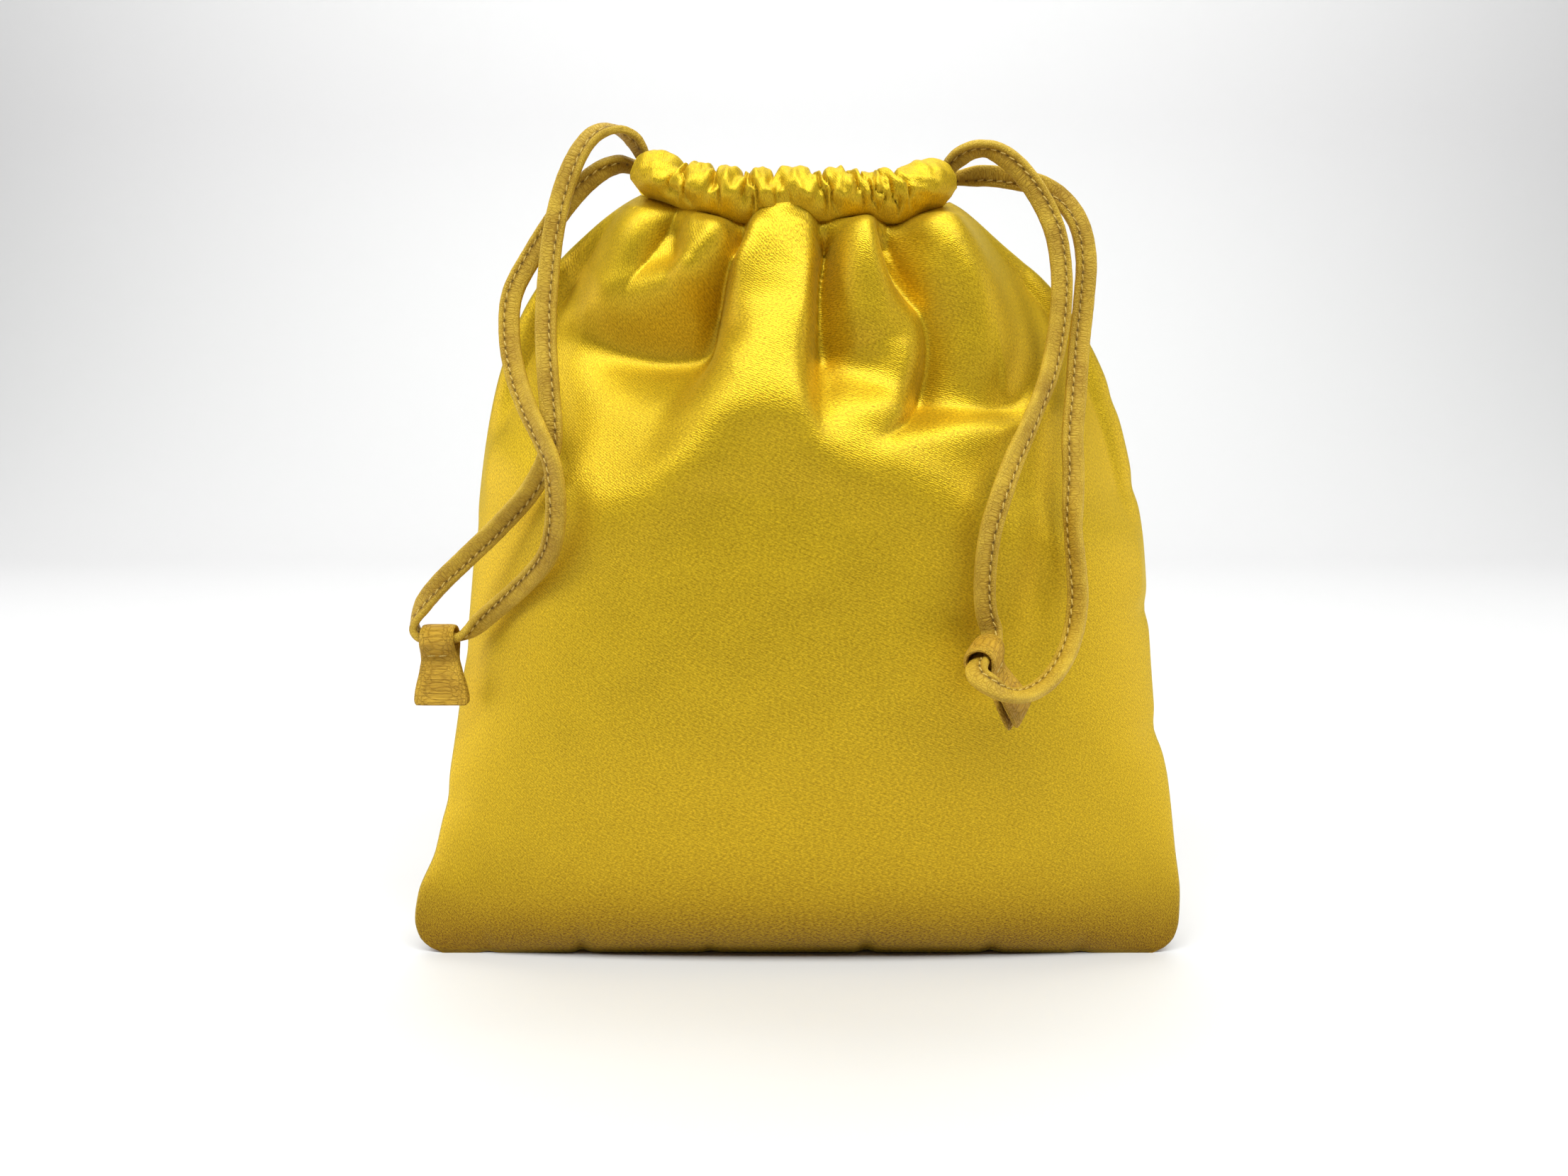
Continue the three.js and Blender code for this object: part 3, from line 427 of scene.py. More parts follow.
BACK_RISE = [[0, 0, 0, 0], [.05, 0, 2.5, 12], [.1, 0, 6.5, 24], [.15, 1.5, 11, 30.5], [.2, 8.5, 17, 33.6],
             [.27, 24, 28, 35.4], [.36, 43, 44, 35], [.46, 64, 64, 33.4], [.56, 84, 84, 31.6], [.66, 104, 104, 29.2],
             [.76, 125, 125, 25], [.86, 146, 146, 20.2], [.93, 160, 160, 17.6], [.965, 166, 166, 16.2],
             [.985, 169.5, 169.5, 14.8], [1, 172, 172, 12.6]]
STITCH_LINE = [[0, 172.4], [.1, 170], [.2, 167.2], [.33, 165], [.42, 165.4], [.5, 166.4], [.58, 165.2], [.66, 165.2],
               [.73, 166], [.8, 165], [.88, 167.2], [1, 170.4]]
RISE_TOP, WALL = 172.0, 1.5


def pillow(u, t, rise, side):
    """A panel before its folds. Across: a share of the outline's width, crowded towards the seams. Depth: the
    bulge times (1 - |2e - 1|^2.5)^0.78. Height: the rise table, dipping to the gather line near the top."""
    e = u - 0.45 * np.sin(2 * np.pi * u) / (2 * np.pi)
    full = np.maximum(0, 1 - np.abs(2 * e - 1) ** 2.5) ** 0.78
    middle, edge, bulge = (curve_through(rise, k, t) for k in (1, 2, 3))
    left, right, seam = (curve_through(EDGES, k, edge) for k in (1, 2, 3))
    dip = (curve_through(STITCH_LINE, 1, e) - RISE_TOP) * np.clip((t - 0.62) / 0.38, 0, 1) ** 1.5
    z = edge + (middle - edge) * np.minimum(1, 1.3 * full) + dip
    return np.stack([left + (right - left) * e, seam + side * (bulge * full + 0.03), z], axis=-1)


print("gather line between", min(r[1] for r in STITCH_LINE), "and", max(r[1] for r in STITCH_LINE), "mm up")

# %% [markdown]
# Folds, lobes and dents
#
# Satin that is drawn together at the neck stands in rounded lobes with sharp creases between them, and the
# creases fan out and die away down the body. A fold here is a bell-shaped rise or dip across a bent line.
# A lobe is a raised tongue between two lines that spread apart downwards. Short dents lie along the seams,
# where the thread has drawn the cloth in.

# %% Tables of folds
# Each fold is a line of points (x, z, rise, width). The width is meant for the right of a line that runs down,
# and for the upper side of one that runs to the right; the other side is wider or narrower by the first number
# after the line. The last number is the power: near 1 gives a sharp crease, 2 a soft swell.
FRONT_FOLDS = [
    ([(-26.5, 171, -3.5, 2.6), (-26.4, 166.4, -4, 3.4), (-28.5, 162, -3.6, 4.2), (-33, 158.6, -2.6, 5),
      (-40, 156.6, -1.2, 6), (-50, 155, 0, 6.5)], 1.4, 1.7),
    ([(-58, 146, .6, 6), (-50, 148.4, 2.6, 6.4), (-42, 150.6, 4.6, 6.6), (-30, 152.6, 5.8, 6.6),
      (-21.4, 155.4, 4.8, 6.2), (-15.5, 158, 2.8, 5)], .78, 2),
    ([(-26, 158.8, -1.6, 3), (-21.5, 160.4, -1.6, 3)], 1, 2),
    ([(-51, 144, -1.4, 6), (-42, 140.6, -5.4, 6.5), (-31, 139.6, -7.8, 7), (-23.5, 140.6, -7.6, 6.8),
      (-17.5, 143.4, -4.4, 5)], 1.1, 1.8),
    ([(-11.6, 170, -6, 1.2), (-12, 164, -7, 1.3), (-13.2, 160, -7, 1.4), (-15.8, 155, -7.5, 1.6), (-18, 149, -7, 2),
      (-20, 142, -5, 2.2), (-22.4, 134, -2, 2.8), (-25, 127, -.4, 3)], 1.2, 1.2),
    ([(5.8, 171, -7, 3.2), (6, 165, -9, 3.4), (6, 159.6, -9.5, 3.6), (5.2, 154.3, -9, 3.8), (4.6, 146.4, -8, 4),
      (4.2, 138.4, -6, 4.4), (3.8, 133.1, -4.2, 4.6), (4, 127.7, -2.4, 5), (5, 122.5, -1, 5), (6.5, 118, -.2, 5)],
      .3, 1.2),
    ([(17.8, 170, -6, 2.4), (17.9, 163.5, -7.5, 3), (20.4, 157, -8, 4), (23.6, 151.7, -7, 5),
      (26.8, 147.7, -6.5, 6), (28.6, 144, -7.4, 6), (29.4, 140, -8, 6), (29.2, 135, -8, 6), (27.8, 130, -7, 6),
      (25.6, 126.2, -5, 5), (22.8, 123.2, -2.6, 3), (18.5, 120.4, -.6, 2.2)], .5, 1.5),
    ([(8, 137.8, -2.6, 5), (12, 135.4, -3.4, 6), (16.5, 135.8, -3.2, 6), (22, 140.4, -1.2, 5)], 1.3, 1.8),
    ([(17, 142, .6, 4), (21.5, 135, 1.4, 4.6), (21.5, 130, 1.2, 4.6), (17, 126, .6, 4)], 1, 2),
    ([(6, 130, .8, 5), (10, 128.8, 2, 5.6), (15.5, 127.2, 2, 5.6), (20.5, 125.4, .8, 5)], 1.1, 2),
    ([(29, 129, -2.4, 9), (36, 128.2, -2.8, 9), (42, 127.4, -2.6, 8), (47.4, 127.2, -2.2, 6.5),
      (50.5, 130.4, -1, 5)], .5, 1.8),
    ([(21, 119.8, .7, 2.6), (28, 121.8, 1.4, 3), (36, 122.2, 1.8, 3.4), (46.8, 121.4, 1.8, 3.4),
      (54.7, 125, 1, 3.4)], 2.3, 1.8),
    ([(51.5, 98, -.8, 4), (51.5, 89, -1.5, 4.5), (52.5, 80, -.5, 5)], 1, 2),
    ([(-2.8, 171, -3, 8.6), (-2.9, 163, -.7, 9.4), (-4.3, 158, 3, 10.4), (-5.6, 153, 5.8, 11.2),
      (-6.9, 147, 7.2, 11.8), (-7.9, 141, 7.2, 12.4), (-9, 134, 5.9, 13.4), (-10.2, 127, 3.8, 15.5),
      (-11, 119, 1.2, 18), (-11.5, 108, 0, 18)], 1, 7),
    ([(11.5, 168, 3, 5), (12.5, 158, 6, 7), (13.5, 148, 5, 8.5), (15, 140, 2, 8)], 1, 2.4),
    ([(24, 167, 2.5, 5), (29, 160.5, 7, 7), (34, 151, 8, 9.5), (36.5, 141, 5.2, 11), (39, 132, 1.8, 10),
      (41, 126, .3, 8)], 1, 2.4),
    ([(-31, 168, 2, 5), (-37, 162, 3.5, 6), (-44, 156, 2.5, 6)], 1, 2),
    ([(-18.4, 171, 2, 6), (-18.8, 165, 3, 6.2), (-19.4, 160, 4.4, 6.4), (-21, 156, 3, 5.5)], 1, 4)]
BACK_FOLDS = [
    ([(-20, 170, -5, 2.2), (-27, 150, -6, 3.5), (-44, 132, -1, 6)], 1.5, 1.3),
    ([(-6, 170, -5, 2.2), (-9, 148, -7, 3), (-14, 122, -1, 6)], 1.4, 1.3),
    ([(8, 170, -5, 2.2), (9, 148, -7, 3), (15, 124, -1, 6)], .7, 1.3),
    ([(21, 170, -5, 2.2), (28, 151, -6, 3.5), (46, 134, -1, 6)], .7, 1.3),
    ([(-13, 168, 2, 5), (-18, 148, 3, 7), (-30, 126, 1, 9)], 1, 2),
    ([(1, 168, 2, 5), (0, 148, 4, 8), (1, 118, 1, 11)], 1, 2),
    ([(15, 168, 2, 5), (20, 148, 3, 7), (32, 126, 1, 9)], 1, 2),
    ([(-56, 138, -1, 5), (-42, 133, -3, 5), (-28, 137, -1, 5)], .6, 1.5),
    ([(26, 137, -1, 5), (40, 132, -3, 5), (56, 139, -1, 5)], .6, 1.5),
    ([(-58, 122, 1, 8), (-40, 112, 2, 8), (-18, 116, 1, 8)], 1, 2),
    ([(20, 116, 1, 8), (42, 110, 2, 8), (60, 120, 1, 8)], 1, 2)]


def fold_lift(x, z, fold):
    """Rise times exp(-(distance / width)^power), where distance is measured to the nearest place on the line and
    rounded off by half a millimetre, and the rise and width change smoothly along it."""
    points, other_side, power = fold
    points = np.array(points, float)
    line = path_through(points, 6)
    here, step = line[:-1, :2], np.diff(line[:, :2], axis=0)
    reach = 4.0 * np.max(points[:, 3]) * max(1.0, other_side)
    lift = np.zeros(x.size)
    px, pz = x.ravel(), z.ravel()
    inside = ((px > line[:, 0].min() - reach) & (px < line[:, 0].max() + reach)
              & (pz > line[:, 1].min() - reach) & (pz < line[:, 1].max() + reach))
    gap = np.stack([px[inside], pz[inside]], axis=1)[:, None] - here[None]
    along = np.clip(np.sum(gap * step, axis=2) / np.sum(step * step, axis=1), 0, 1)
    off = gap - along[..., None] * step
    distance = np.linalg.norm(off, axis=2)
    near = np.argmin(distance, axis=1)
    row = np.arange(len(near))
    at = near + along[row, near]
    turn = step[near, 0] * off[row, near, 1] - step[near, 1] * off[row, near, 0]
    far = distance[row, near]
    tilt = 0.5 + 0.5 * turn / np.maximum(np.linalg.norm(step[near], axis=1) * np.maximum(far, 0.4), 1e-6)
    rise, width = picked(at, np.arange(len(line)), line[:, 2:]).T
    width = width * (other_side + (1 - other_side) * ease(tilt))
    round_off = (0.5 / np.maximum(width, 0.5)) ** power
    lift[inside] = rise * np.exp(round_off - ((far ** 2 + 0.25) ** 0.5 / width) ** power)
    return lift.reshape(x.shape)


# %% Belly edge and lobes at the gather line
# Height of the front's full belly at each x: above it the cloth leans back towards the neck
BELLY_EDGE = [[-90, 122], [-72, 119], [-57, 112.5], [-43, 108.2], [-33.4, 110.6], [-26.3, 116], [-20.9, 121.5],
              [-13.9, 127], [-6.8, 129.5], [.2, 127], [6.3, 123], [13.4, 119.6], [21.3, 116.3], [30.2, 111.5],
              [40.1, 106.2], [46.4, 102.5], [55, 99], [65, 97], [90, 96]]
# How far it leans back at each x, within how many millimetres, and how rounded the edge is
BELLY_BACK = [[-90, 3.5, 13], [-62, 5, 13], [-45, 8.5, 14], [-20, 8.5, 14], [-5, 7.5, 13], [8, 3.6, 7],
              [20, 2.2, 4.5], [35, 2.2, 4.5], [50, 3, 6], [90, 2, 8]]
BELLY_ROUND = 1.3
# The roll under the belly edge: how high it is, how far below the edge, and how wide
ROLL_HEIGHT, ROLL_BELOW, ROLL_WIDTH = 1.4, 5.0, 8.0
# Creases between the lobes at the gather line: x at the line, and how far each moves sideways for 1 mm down. Then
# how far each lobe between two creases rises over the line, and how far it stands out
FRONT_CREASES = [(-50, -.3), (-26.3, -.75), (-10.4, -.3), (5, -.08), (17.8, .45), (48, .3)]
FRONT_LOBES = [(.5, 2.8), (1.6, 1.4), (5.2, 1.6), (1.6, 2.6), (1, 3)]
BACK_CREASES = [(-50, -.3), (-20, -.4), (-6, -.15), (8, .1), (21, .4), (50, .3)]
BACK_LOBES = [(.6, 3.5), (1.2, 5), (1.4, 5), (1.2, 5), (.6, 3.5)]
# The share of the rise where the lobes start to roll, and the height from which their creases fan out
LOBE_START, FAN_TOP = 0.925, 168.0


def belly_step(x, z):
    """How far the cloth falls back above the belly edge: the depth at x times 1 - exp(-d / reach), where d is the
    distance above the edge, rounded near 0 as log(1 + exp(d)). A low bell-shaped roll lies just under the edge."""
    edge = sum(curve_through(BELLY_EDGE, 1, x + k) for k in (-5, -2.5, 0, 2.5, 5)) / 5
    d = 0.85 * (z - edge)
    roll = ROLL_HEIGHT * np.exp(-((d + ROLL_BELOW) / ROLL_WIDTH) ** 2)
    soft = BELLY_ROUND + 2.0 * np.exp(-((x + 6) / 13) ** 2)
    d = soft * np.logaddexp(0, d / soft)
    return roll - curve_through(BELLY_BACK, 1, x) * (1 - np.exp(-d / curve_through(BELLY_BACK, 2, x)))


def lobes(x, z, t, creases, heights):
    """Rise and stand-out of the rolled lobes: an arch (1 - |2q - 1|^3)^0.8 across each one, which grows up
    from the body and curls in again over the last few millimetres under the gather line."""
    rise, out = np.zeros_like(x), np.zeros_like(x)
    s = np.clip((t - LOBE_START) / (1 - LOBE_START), 0, 1)
    down = np.maximum(0, FAN_TOP - z)
    for (x0, fan0), (x1, fan1), (up, forward) in zip(creases[:-1], creases[1:], heights):
        left, right = x0 + fan0 * down, x1 + fan1 * down
        q = np.clip((x - left) / (right - left), 0, 1)
        arch = np.maximum(0, 1 - np.abs(2 * q - 1) ** 3) ** 0.8
        rise += up * arch * ease(s / 0.85)
        out += forward * arch * ease((t - 0.84) / 0.13) * np.cos(np.pi / 2 * s ** 5)
    return rise, out


# Short dents at the side seams (side, height, depth, length) and creases up from the bottom seam (x, depth, length)
SIDE_DENTS = [(1, 108, .6, 3), (1, 80, .8, 3), (1, 52, .8, 3.5), (1, 128, .4, 3), (-1, 36, .6, 4), (-1, 70, .4, 4),
              (-1, 98, .4, 4)]
FOOT_DENTS = [(16, .9, 7), (45, .8, 6), (-50, .9, 7), (-20, .5, 5), (66, .5, 5), (-72, .5, 6)]
# How far the side dents run in, as a share of the panel, and how wide the foot dents are
SIDE_DENT_SHARE, FOOT_DENT_WIDTH = 0.06, 1.6


def seam_dents(x, z, u):
    """Bell-shaped dents: along the side seams they run a little way into the cloth, along the foot a little way up."""
    dents = np.zeros_like(x)
    for way, height, depth, length in SIDE_DENTS:
        edge = (1 - u) if way > 0 else u
        dents -= depth * np.exp(-((z - height) / length) ** 2 - (edge / SIDE_DENT_SHARE) ** 2)
    for place, depth, length in FOOT_DENTS:
        dents -= depth * np.exp(-((x - place) / FOOT_DENT_WIDTH) ** 2 - (z / length) ** 2)
    return dents


# %% Sew a panel
# The flat size that a panel is cut to, in metres
CUT_SIZE = (0.180, 0.195)
# Rows lie closer together near the gather line: shares of the rows, and of the rise that they reach
ROW_SHARES, RISE_SHARES = [0, .40, .82, 1], [0, .62, .925, 1]
# How far up the painted shade at the foot reaches: it stands in for the shadow where the pouch meets the table
PAINTED_SHADE_HEIGHT = 17.0


def panel(name, rise, side, folds, creases, heights, columns, rows):
    """Outer skin: the pillow moved along its own outward direction by the sum of its folds, belly edge and dents,
    with its lobes rolled out at the top. Inner skin: the same, one wall further in. The four rims are closed."""
    t, u = np.meshgrid(np.interp(np.linspace(0, 1, rows), ROW_SHARES, RISE_SHARES), np.linspace(0, 1, columns),
                       indexing="ij")
    p = pillow(u, t, rise, side)
    n = unit(np.cross(np.gradient(p, axis=1), np.gradient(p, axis=0)))
    n *= np.sign(side * n[rows // 2, columns // 2, 1])
    from_seam = np.minimum(u, 1 - u)
    near_side = 1 - ease(from_seam / 0.06)
    n[..., 1] *= 1 - near_side
    near_foot = (1 - ease(t / 0.03))[..., None]
    foot = np.stack([near_side * np.sign(u - 0.5), 0 * u, 0 * u - 1], axis=-1)
    n = unit(n * (1 - near_foot) + foot * near_foot)
    x, z = p[..., 0], p[..., 2]
    lift = sum(fold_lift(x, z, f) for f in folds)
    if side < 0:
        lift += belly_step(x, z) * ease((1 - t) / 0.12)
    lift *= ease(from_seam / 0.05) * ease((1 - t) / 0.03)
    lift += seam_dents(x, z, u)
    up, out = lobes(x, z, t, creases, heights)
    p = p + np.stack([0 * x, side * out, up], axis=-1)
    skins = [(p + n * (lift - depth)[..., None]).reshape(-1, 3) for depth in (0, WALL)]
    size = rows * columns
    grid = np.arange(size).reshape(rows, columns)
    edge = np.concatenate([grid[-1, :-1], grid[:0:-1, -1], grid[0, :0:-1], grid[:-1, 0]])
    after = np.roll(edge, -1)
    face = sheet_faces(rows, columns)
    rim = faces_of(edge, after, after + size, edge + size)
    faces = [f[:, ::-side] for f in (face, face[:, ::-1] + size, rim)]
    cut = np.tile(np.stack([u * CUT_SIZE[0] / MM, t * CUT_SIZE[1] / MM], axis=-1).reshape(-1, 2), (2, 1))
    # Painted shade: 1 at the table and fading upwards, to darken the satin where the contact shadow falls
    shade = np.exp(-(np.maximum(z, 0) / PAINTED_SHADE_HEIGHT) ** 2).ravel()
    return new_piece(name, np.vstack(skins), faces, np.vstack([cut[f].reshape(-1, 2) for f in faces]),
                     {"painted_foot_shade": np.tile(shade, 2)})


cloth = {"front_panel": panel("front_satin_panel", FRONT_RISE, -1, FRONT_FOLDS, FRONT_CREASES, FRONT_LOBES, 214, 226),
         "back_panel": panel("back_satin_panel", BACK_RISE, 1, BACK_FOLDS, BACK_CREASES, BACK_LOBES, 150, 160)}

# %% [markdown]
# The gathered channel
#
# Above the stitch line the satin is turned over into a channel for the drawcords. Drawn tight, it bunches
# into narrow puffs with deep pleats between them, and it ends in a rounder puff at each slit, where the
# cords come out. The puffs are uneven, so the pleats are placed by a table, and each puff is a rounded arch
# between two pleats. Fine slanted waves crumple the cloth over them.

# %% Ring of the mouth
RING = np.array([[-34, 0, 175.6], [-32.4, -3.6, 175.2], [-28.2, -7.2, 174], [-20.5, -10.6, 171.8], [-11, -12.4, 170.9],
                 [0, -13, 170.9], [10, -12.6, 170.8], [19, -10.8, 171.2], [26.6, -7.2, 172.4], [30.6, -3.6, 173.3],
                 [32.2, 0, 173.6]])
SLIT_SHARE, TUNNEL_RADIUS, CHANNEL_DEPTH = 0.031, 2.95, 4.3
CHANNEL_STEPS, CHANNEL_SIDES, CHANNEL_GIRTH, END_SHARE = 420, 46, 30.0, 0.09
whole_ring = np.vstack([RING, (RING * [1, -1, 1])[-2:0:-1]])
mouth = path_through(whole_ring, 60, closed=True)
mouth = np.vstack([mouth, mouth[:1]])
print("way round the mouth:", round(walked(mouth)[-1], 1), "mm")

# Places of the pleats along each channel, as x, and how deep each is
FRONT_PLEATS = [(-34, 0), (-25, 1.6), (-23.4, 1), (-16.8, .5), (-10.4, 1.6), (-9.2, .8), (-4, 1), (4.8, 1.3),
                (6.6, 1.4), (12, .5), (15.4, 1.4), (16.8, .8), (18.2, 1.5), (22.5, .4), (32.2, 0)]
BACK_PLEATS = [(32.2, 0), (22, 1.2), (19.4, .8), (16.2, 1.2), (13.6, .7), (9.8, 1.2), (7, .8), (3.2, 1.3), (1, .8),
               (-2.6, 1.2), (-6.2, .9), (-8, 1.2), (-12.8, 1.1), (-15, .7), (-19, 1.3), (-23, 1.1), (-34, 0)]


def puffs(x, pleats):
    """Arches between pleats: between two neighbours the height is (1 - |2q - 1|^2.2)^0.6 times the square root of
    the arch's width, less the depth of the pleats at its two ends."""
    pleats = np.asarray(pleats if pleats[0][0] < pleats[-1][0] else pleats[::-1])
    place, depth = pleats[:, 0], pleats[:, 1]
    i = np.clip(np.searchsorted(place, x, side="right") - 1, 0, len(place) - 2)
    wide = place[i + 1] - place[i]
    q = np.clip((x - place[i]) / wide, 0, 1)
    arch = np.maximum(0, 1 - np.abs(2 * q - 1) ** 2.2) ** 0.6
    sunk = depth[i] * (1 - q) ** 2 + depth[i + 1] * q ** 2
    return arch * np.minimum(0.75 * np.sqrt(wide), 1.9) - sunk * (1 - arch)


def channel(name, start, stop, pleats, lean):
    """A pipe round the tunnel: its section reaches out by the puffs at each place, down to the stitch line, and its
    pleats lean and wander sideways over the top. The inside is the plain round tunnel."""
    steps, sides = CHANNEL_STEPS, CHANNEL_SIDES
    share = np.linspace(0, 1, steps)
    far = walked(mouth)
    centre = picked((start + (stop - start) * share) * far[-1], far, mouth)
    tangent = unit(np.gradient(centre, axis=0))
    out = unit(np.cross(tangent, [0, 0, 1.0]))
    up = unit(np.cross(out, tangent))
    e = (centre[:, 0] - EDGES[-1][1]) / (EDGES[-1][2] - EDGES[-1][1])
    drop = np.maximum(centre[:, 2] - curve_through(STITCH_LINE, 1, e) - 0.1, TUNNEL_RADIUS + 0.15)[:, None]
    a = np.linspace(0, 2 * np.pi, sides, endpoint=False)[None]
    ca, sa = np.cos(a), np.sin(a)
    s = share[:, None]
    end = np.minimum(1, np.exp(-(s / END_SHARE) ** 2) + np.exp(-((1 - s) / END_SHARE) ** 2))
    x = centre[:, :1]
    wander = (1 - end) * (lean * 1.6 * sa + 0.7 * np.sin(0.9 * x + 2.1 * a) + 0.4 * np.sin(1.7 * x - 3 * a + 1))
    crumple = (0.2 * np.sin(1.1 * x + 2.5 * np.sin(2 * a) + 0.4 * x * sa) + 0.09 * np.sin(3.1 * x + 4 * a)
               + 0.14 * np.sin(1.9 * x - 2.6 * a + 1.2 * np.sin(0.7 * x))) * (1 - 0.4 * end)
    puff = (puffs(x + wander, pleats) + crumple) * np.clip(0.6 * ca + 0.8 * sa + 0.5, 0, 1)
    puff += end * np.maximum(0, sa) * 1.0 - 1.3 * np.exp(-((x + 2) / 6) ** 2) * np.maximum(0, ca)
    size_here = np.maximum(CHANNEL_DEPTH - 0.2 + puff, TUNNEL_RADIUS + 0.25)
    reach = size_here * ca * (1 - 0.3 * np.maximum(0, -sa))
    height = sa * np.where(sa > 0, size_here, drop)
    outer = centre[:, None] + reach[..., None] * out[:, None] + height[..., None] * up[:, None]
    inner = centre[:, None] + TUNNEL_RADIUS * (ca[..., None] * out[:, None] + sa[..., None] * up[:, None])
    face, corner = tube_faces(steps, sides)
    size = steps * sides
    i = np.arange(sides)
    n, last = (i + 1) % sides, (steps - 1) * sides
    rims = np.vstack([faces_of(n, i, i + size, n + size),
                      faces_of(last + i, last + n, last + n + size, last + i + size)])
    uv = tube_map(share * CUT_SIZE[0] / MM, np.linspace(0, CHANNEL_GIRTH, sides + 1))
    corner_uv = [uv[corner[:, ::-1]].reshape(-1, 2), uv[corner].reshape(-1, 2), np.zeros((rims.size, 2))]
    return new_piece(name, np.vstack([outer.reshape(-1, 3), inner.reshape(-1, 3)]),
                     [face[:, ::-1], face + size, rims], np.vstack(corner_uv))


cloth["front_channel"] = channel("front_gathered_channel", SLIT_SHARE, 0.5 - SLIT_SHARE, FRONT_PLEATS, 1.0)
cloth["back_channel"] = channel("back_gathered_channel", 0.5 + SLIT_SHARE, 1 - SLIT_SHARE, BACK_PLEATS, -1.0)

# %% [markdown]
# Shared effects
#
# Satin and leather are both told apart by tiny relief: fine slanted threads on one, pebbles and wrinkles on
# the other. Each effect is a node group that puts out a mask and a height. It reads the piece's own map in
# millimetres, so a thread keeps its size on every panel. The shaders stay in the materials.

# %% Node helpers
def node_group(name, inputs, outputs):
    """An empty shader group: an input is a float with its starting value, or a vector where that is None, and the
    outputs are floats. Returns its tree, its input sockets and its output sockets."""
    tree = bpy.data.node_groups.new(name, "ShaderNodeTree")
    for label, value in inputs.items():
        kind = "NodeSocketVector" if value is None else "NodeSocketFloat"
        socket = tree.interface.new_socket(label, in_out="INPUT", socket_type=kind)
        if value is not None:
            socket.default_value = value
    for label in outputs:
        tree.interface.new_socket(label, in_out="OUTPUT", socket_type="NodeSocketFloat")
    return tree, tree.nodes.new("NodeGroupInput").outputs, tree.nodes.new("NodeGroupOutput").inputs


def add_node(tree, kind, settings=None, **values):
    """A node with its own settings, and with values on its inputs or links to them. An input is named by its
    label, or by i and its number."""
    node = tree.nodes.new(kind)
    for key, value in (settings or {}).items():
        setattr(node, key, value)
    for key, value in values.items():
        numbered = key[0] == "i" and key[1:].isdigit()
        socket = node.inputs[int(key[1:]) if numbered else key.replace("_", " ")]
        if isinstance(value, bpy.types.NodeSocket):
            tree.links.new(value, socket)
        else:
            socket.default_value = value
    return node


def sums(tree, operation, a, b=0.0, c=0.0, clamp=False):
    """One step of arithmetic on up to three values or sockets."""
    return add_node(tree, "ShaderNodeMath", {"operation": operation, "use_clamp": clamp}, i0=a, i1=b, i2=c).outputs[0]


def noise(tree, place, scale, detail=4.0, roughness=0.5):
    """Flat fractal noise at a place on the map: its value and its colour."""
    return add_node(tree, "ShaderNodeTexNoise", {"noise_dimensions": "2D"}, Vector=place, Scale=scale, Detail=detail,
                    Roughness=roughness).outputs


# %% Satin threads
def make_satin_threads():
    """Threads: slanted ribs of a twill, broken up by fine noise, flecks where floating threads catch the light,
    and a slow unevenness from thread to thread."""
    tree, given, out = node_group("satin_threads", {"Map": None, "Pitch": 0.5}, ("Ribs", "Flecks", "Height", "Uneven"))
    place = given["Map"]
    parts = add_node(tree, "ShaderNodeSeparateXYZ", i0=place).outputs
    lean = sums(tree, "MULTIPLY_ADD", parts[0], 0.62, parts[1])
    lean = sums(tree, "MULTIPLY_ADD", noise(tree, place, 1.4, 2.0)[0], 0.9, lean)
    turn = sums(tree, "MULTIPLY", sums(tree, "DIVIDE", lean, given["Pitch"]), 2 * math.pi)
    ribs = sums(tree, "MULTIPLY_ADD", sums(tree, "SINE", turn), 0.5, 0.5)
    grain = sums(tree, "MULTIPLY", noise(tree, place, 2.2, 3.0, 0.7)[0], 0.9)
    turned = add_node(tree, "ShaderNodeMapping", Vector=place, Rotation=(0.0, 0.0, 0.6)).outputs[0]
    tree.links.new(ribs, out["Ribs"])
    tree.links.new(noise(tree, turned, 1.9, 2.0, 0.65)[0], out["Flecks"])
    tree.links.new(sums(tree, "MULTIPLY_ADD", ribs, 0.55, grain), out["Height"])
    tree.links.new(noise(tree, place, 0.09)[0], out["Uneven"])
    return tree


satin_threads = make_satin_threads()


# %% Leather grain
def make_leather_grain():
    """Grain: rounded pebbles between fine cracks, and wrinkles that run across the strip."""
    tree, given, out = node_group("leather_grain", {"Map": None, "Pebbles": 1.2, "Wrinkles": 1.0},
                                  ("Cracks", "Height", "Uneven"))
    place = given["Map"]
    moved = add_node(tree, "ShaderNodeVectorMath", {"operation": "ADD"}, i0=place, i1=noise(tree, place, 0.8, 3.0)[1])
    cells = add_node(tree, "ShaderNodeTexVoronoi", {"voronoi_dimensions": "2D", "feature": "DISTANCE_TO_EDGE"},
                     Vector=moved.outputs[0], Scale=given["Pebbles"])
    cracks = sums(tree, "SUBTRACT", 1.0, sums(tree, "MULTIPLY", cells.outputs[0], 5.0, clamp=True), clamp=True)
    across_it = add_node(tree, "ShaderNodeMapping", Vector=place, Scale=(1.6, 0.28, 1.0)).outputs[0]
    crinkle = sums(tree, "MULTIPLY", noise(tree, across_it, 1.3, 4.0, 0.62)[0], 1.6)
    height = sums(tree, "MULTIPLY_ADD", cracks, -0.45, sums(tree, "MULTIPLY", crinkle, given["Wrinkles"]))
    height = sums(tree, "MULTIPLY_ADD", noise(tree, place, 4.5, 3.0)[0], 0.25, height)
    tree.links.new(cracks, out["Cracks"])
    tree.links.new(height, out["Height"])
    tree.links.new(noise(tree, place, 0.16)[0], out["Uneven"])
    return tree


leather_grain = make_leather_grain()
print("node groups:", satin_threads.name, leather_grain.name)

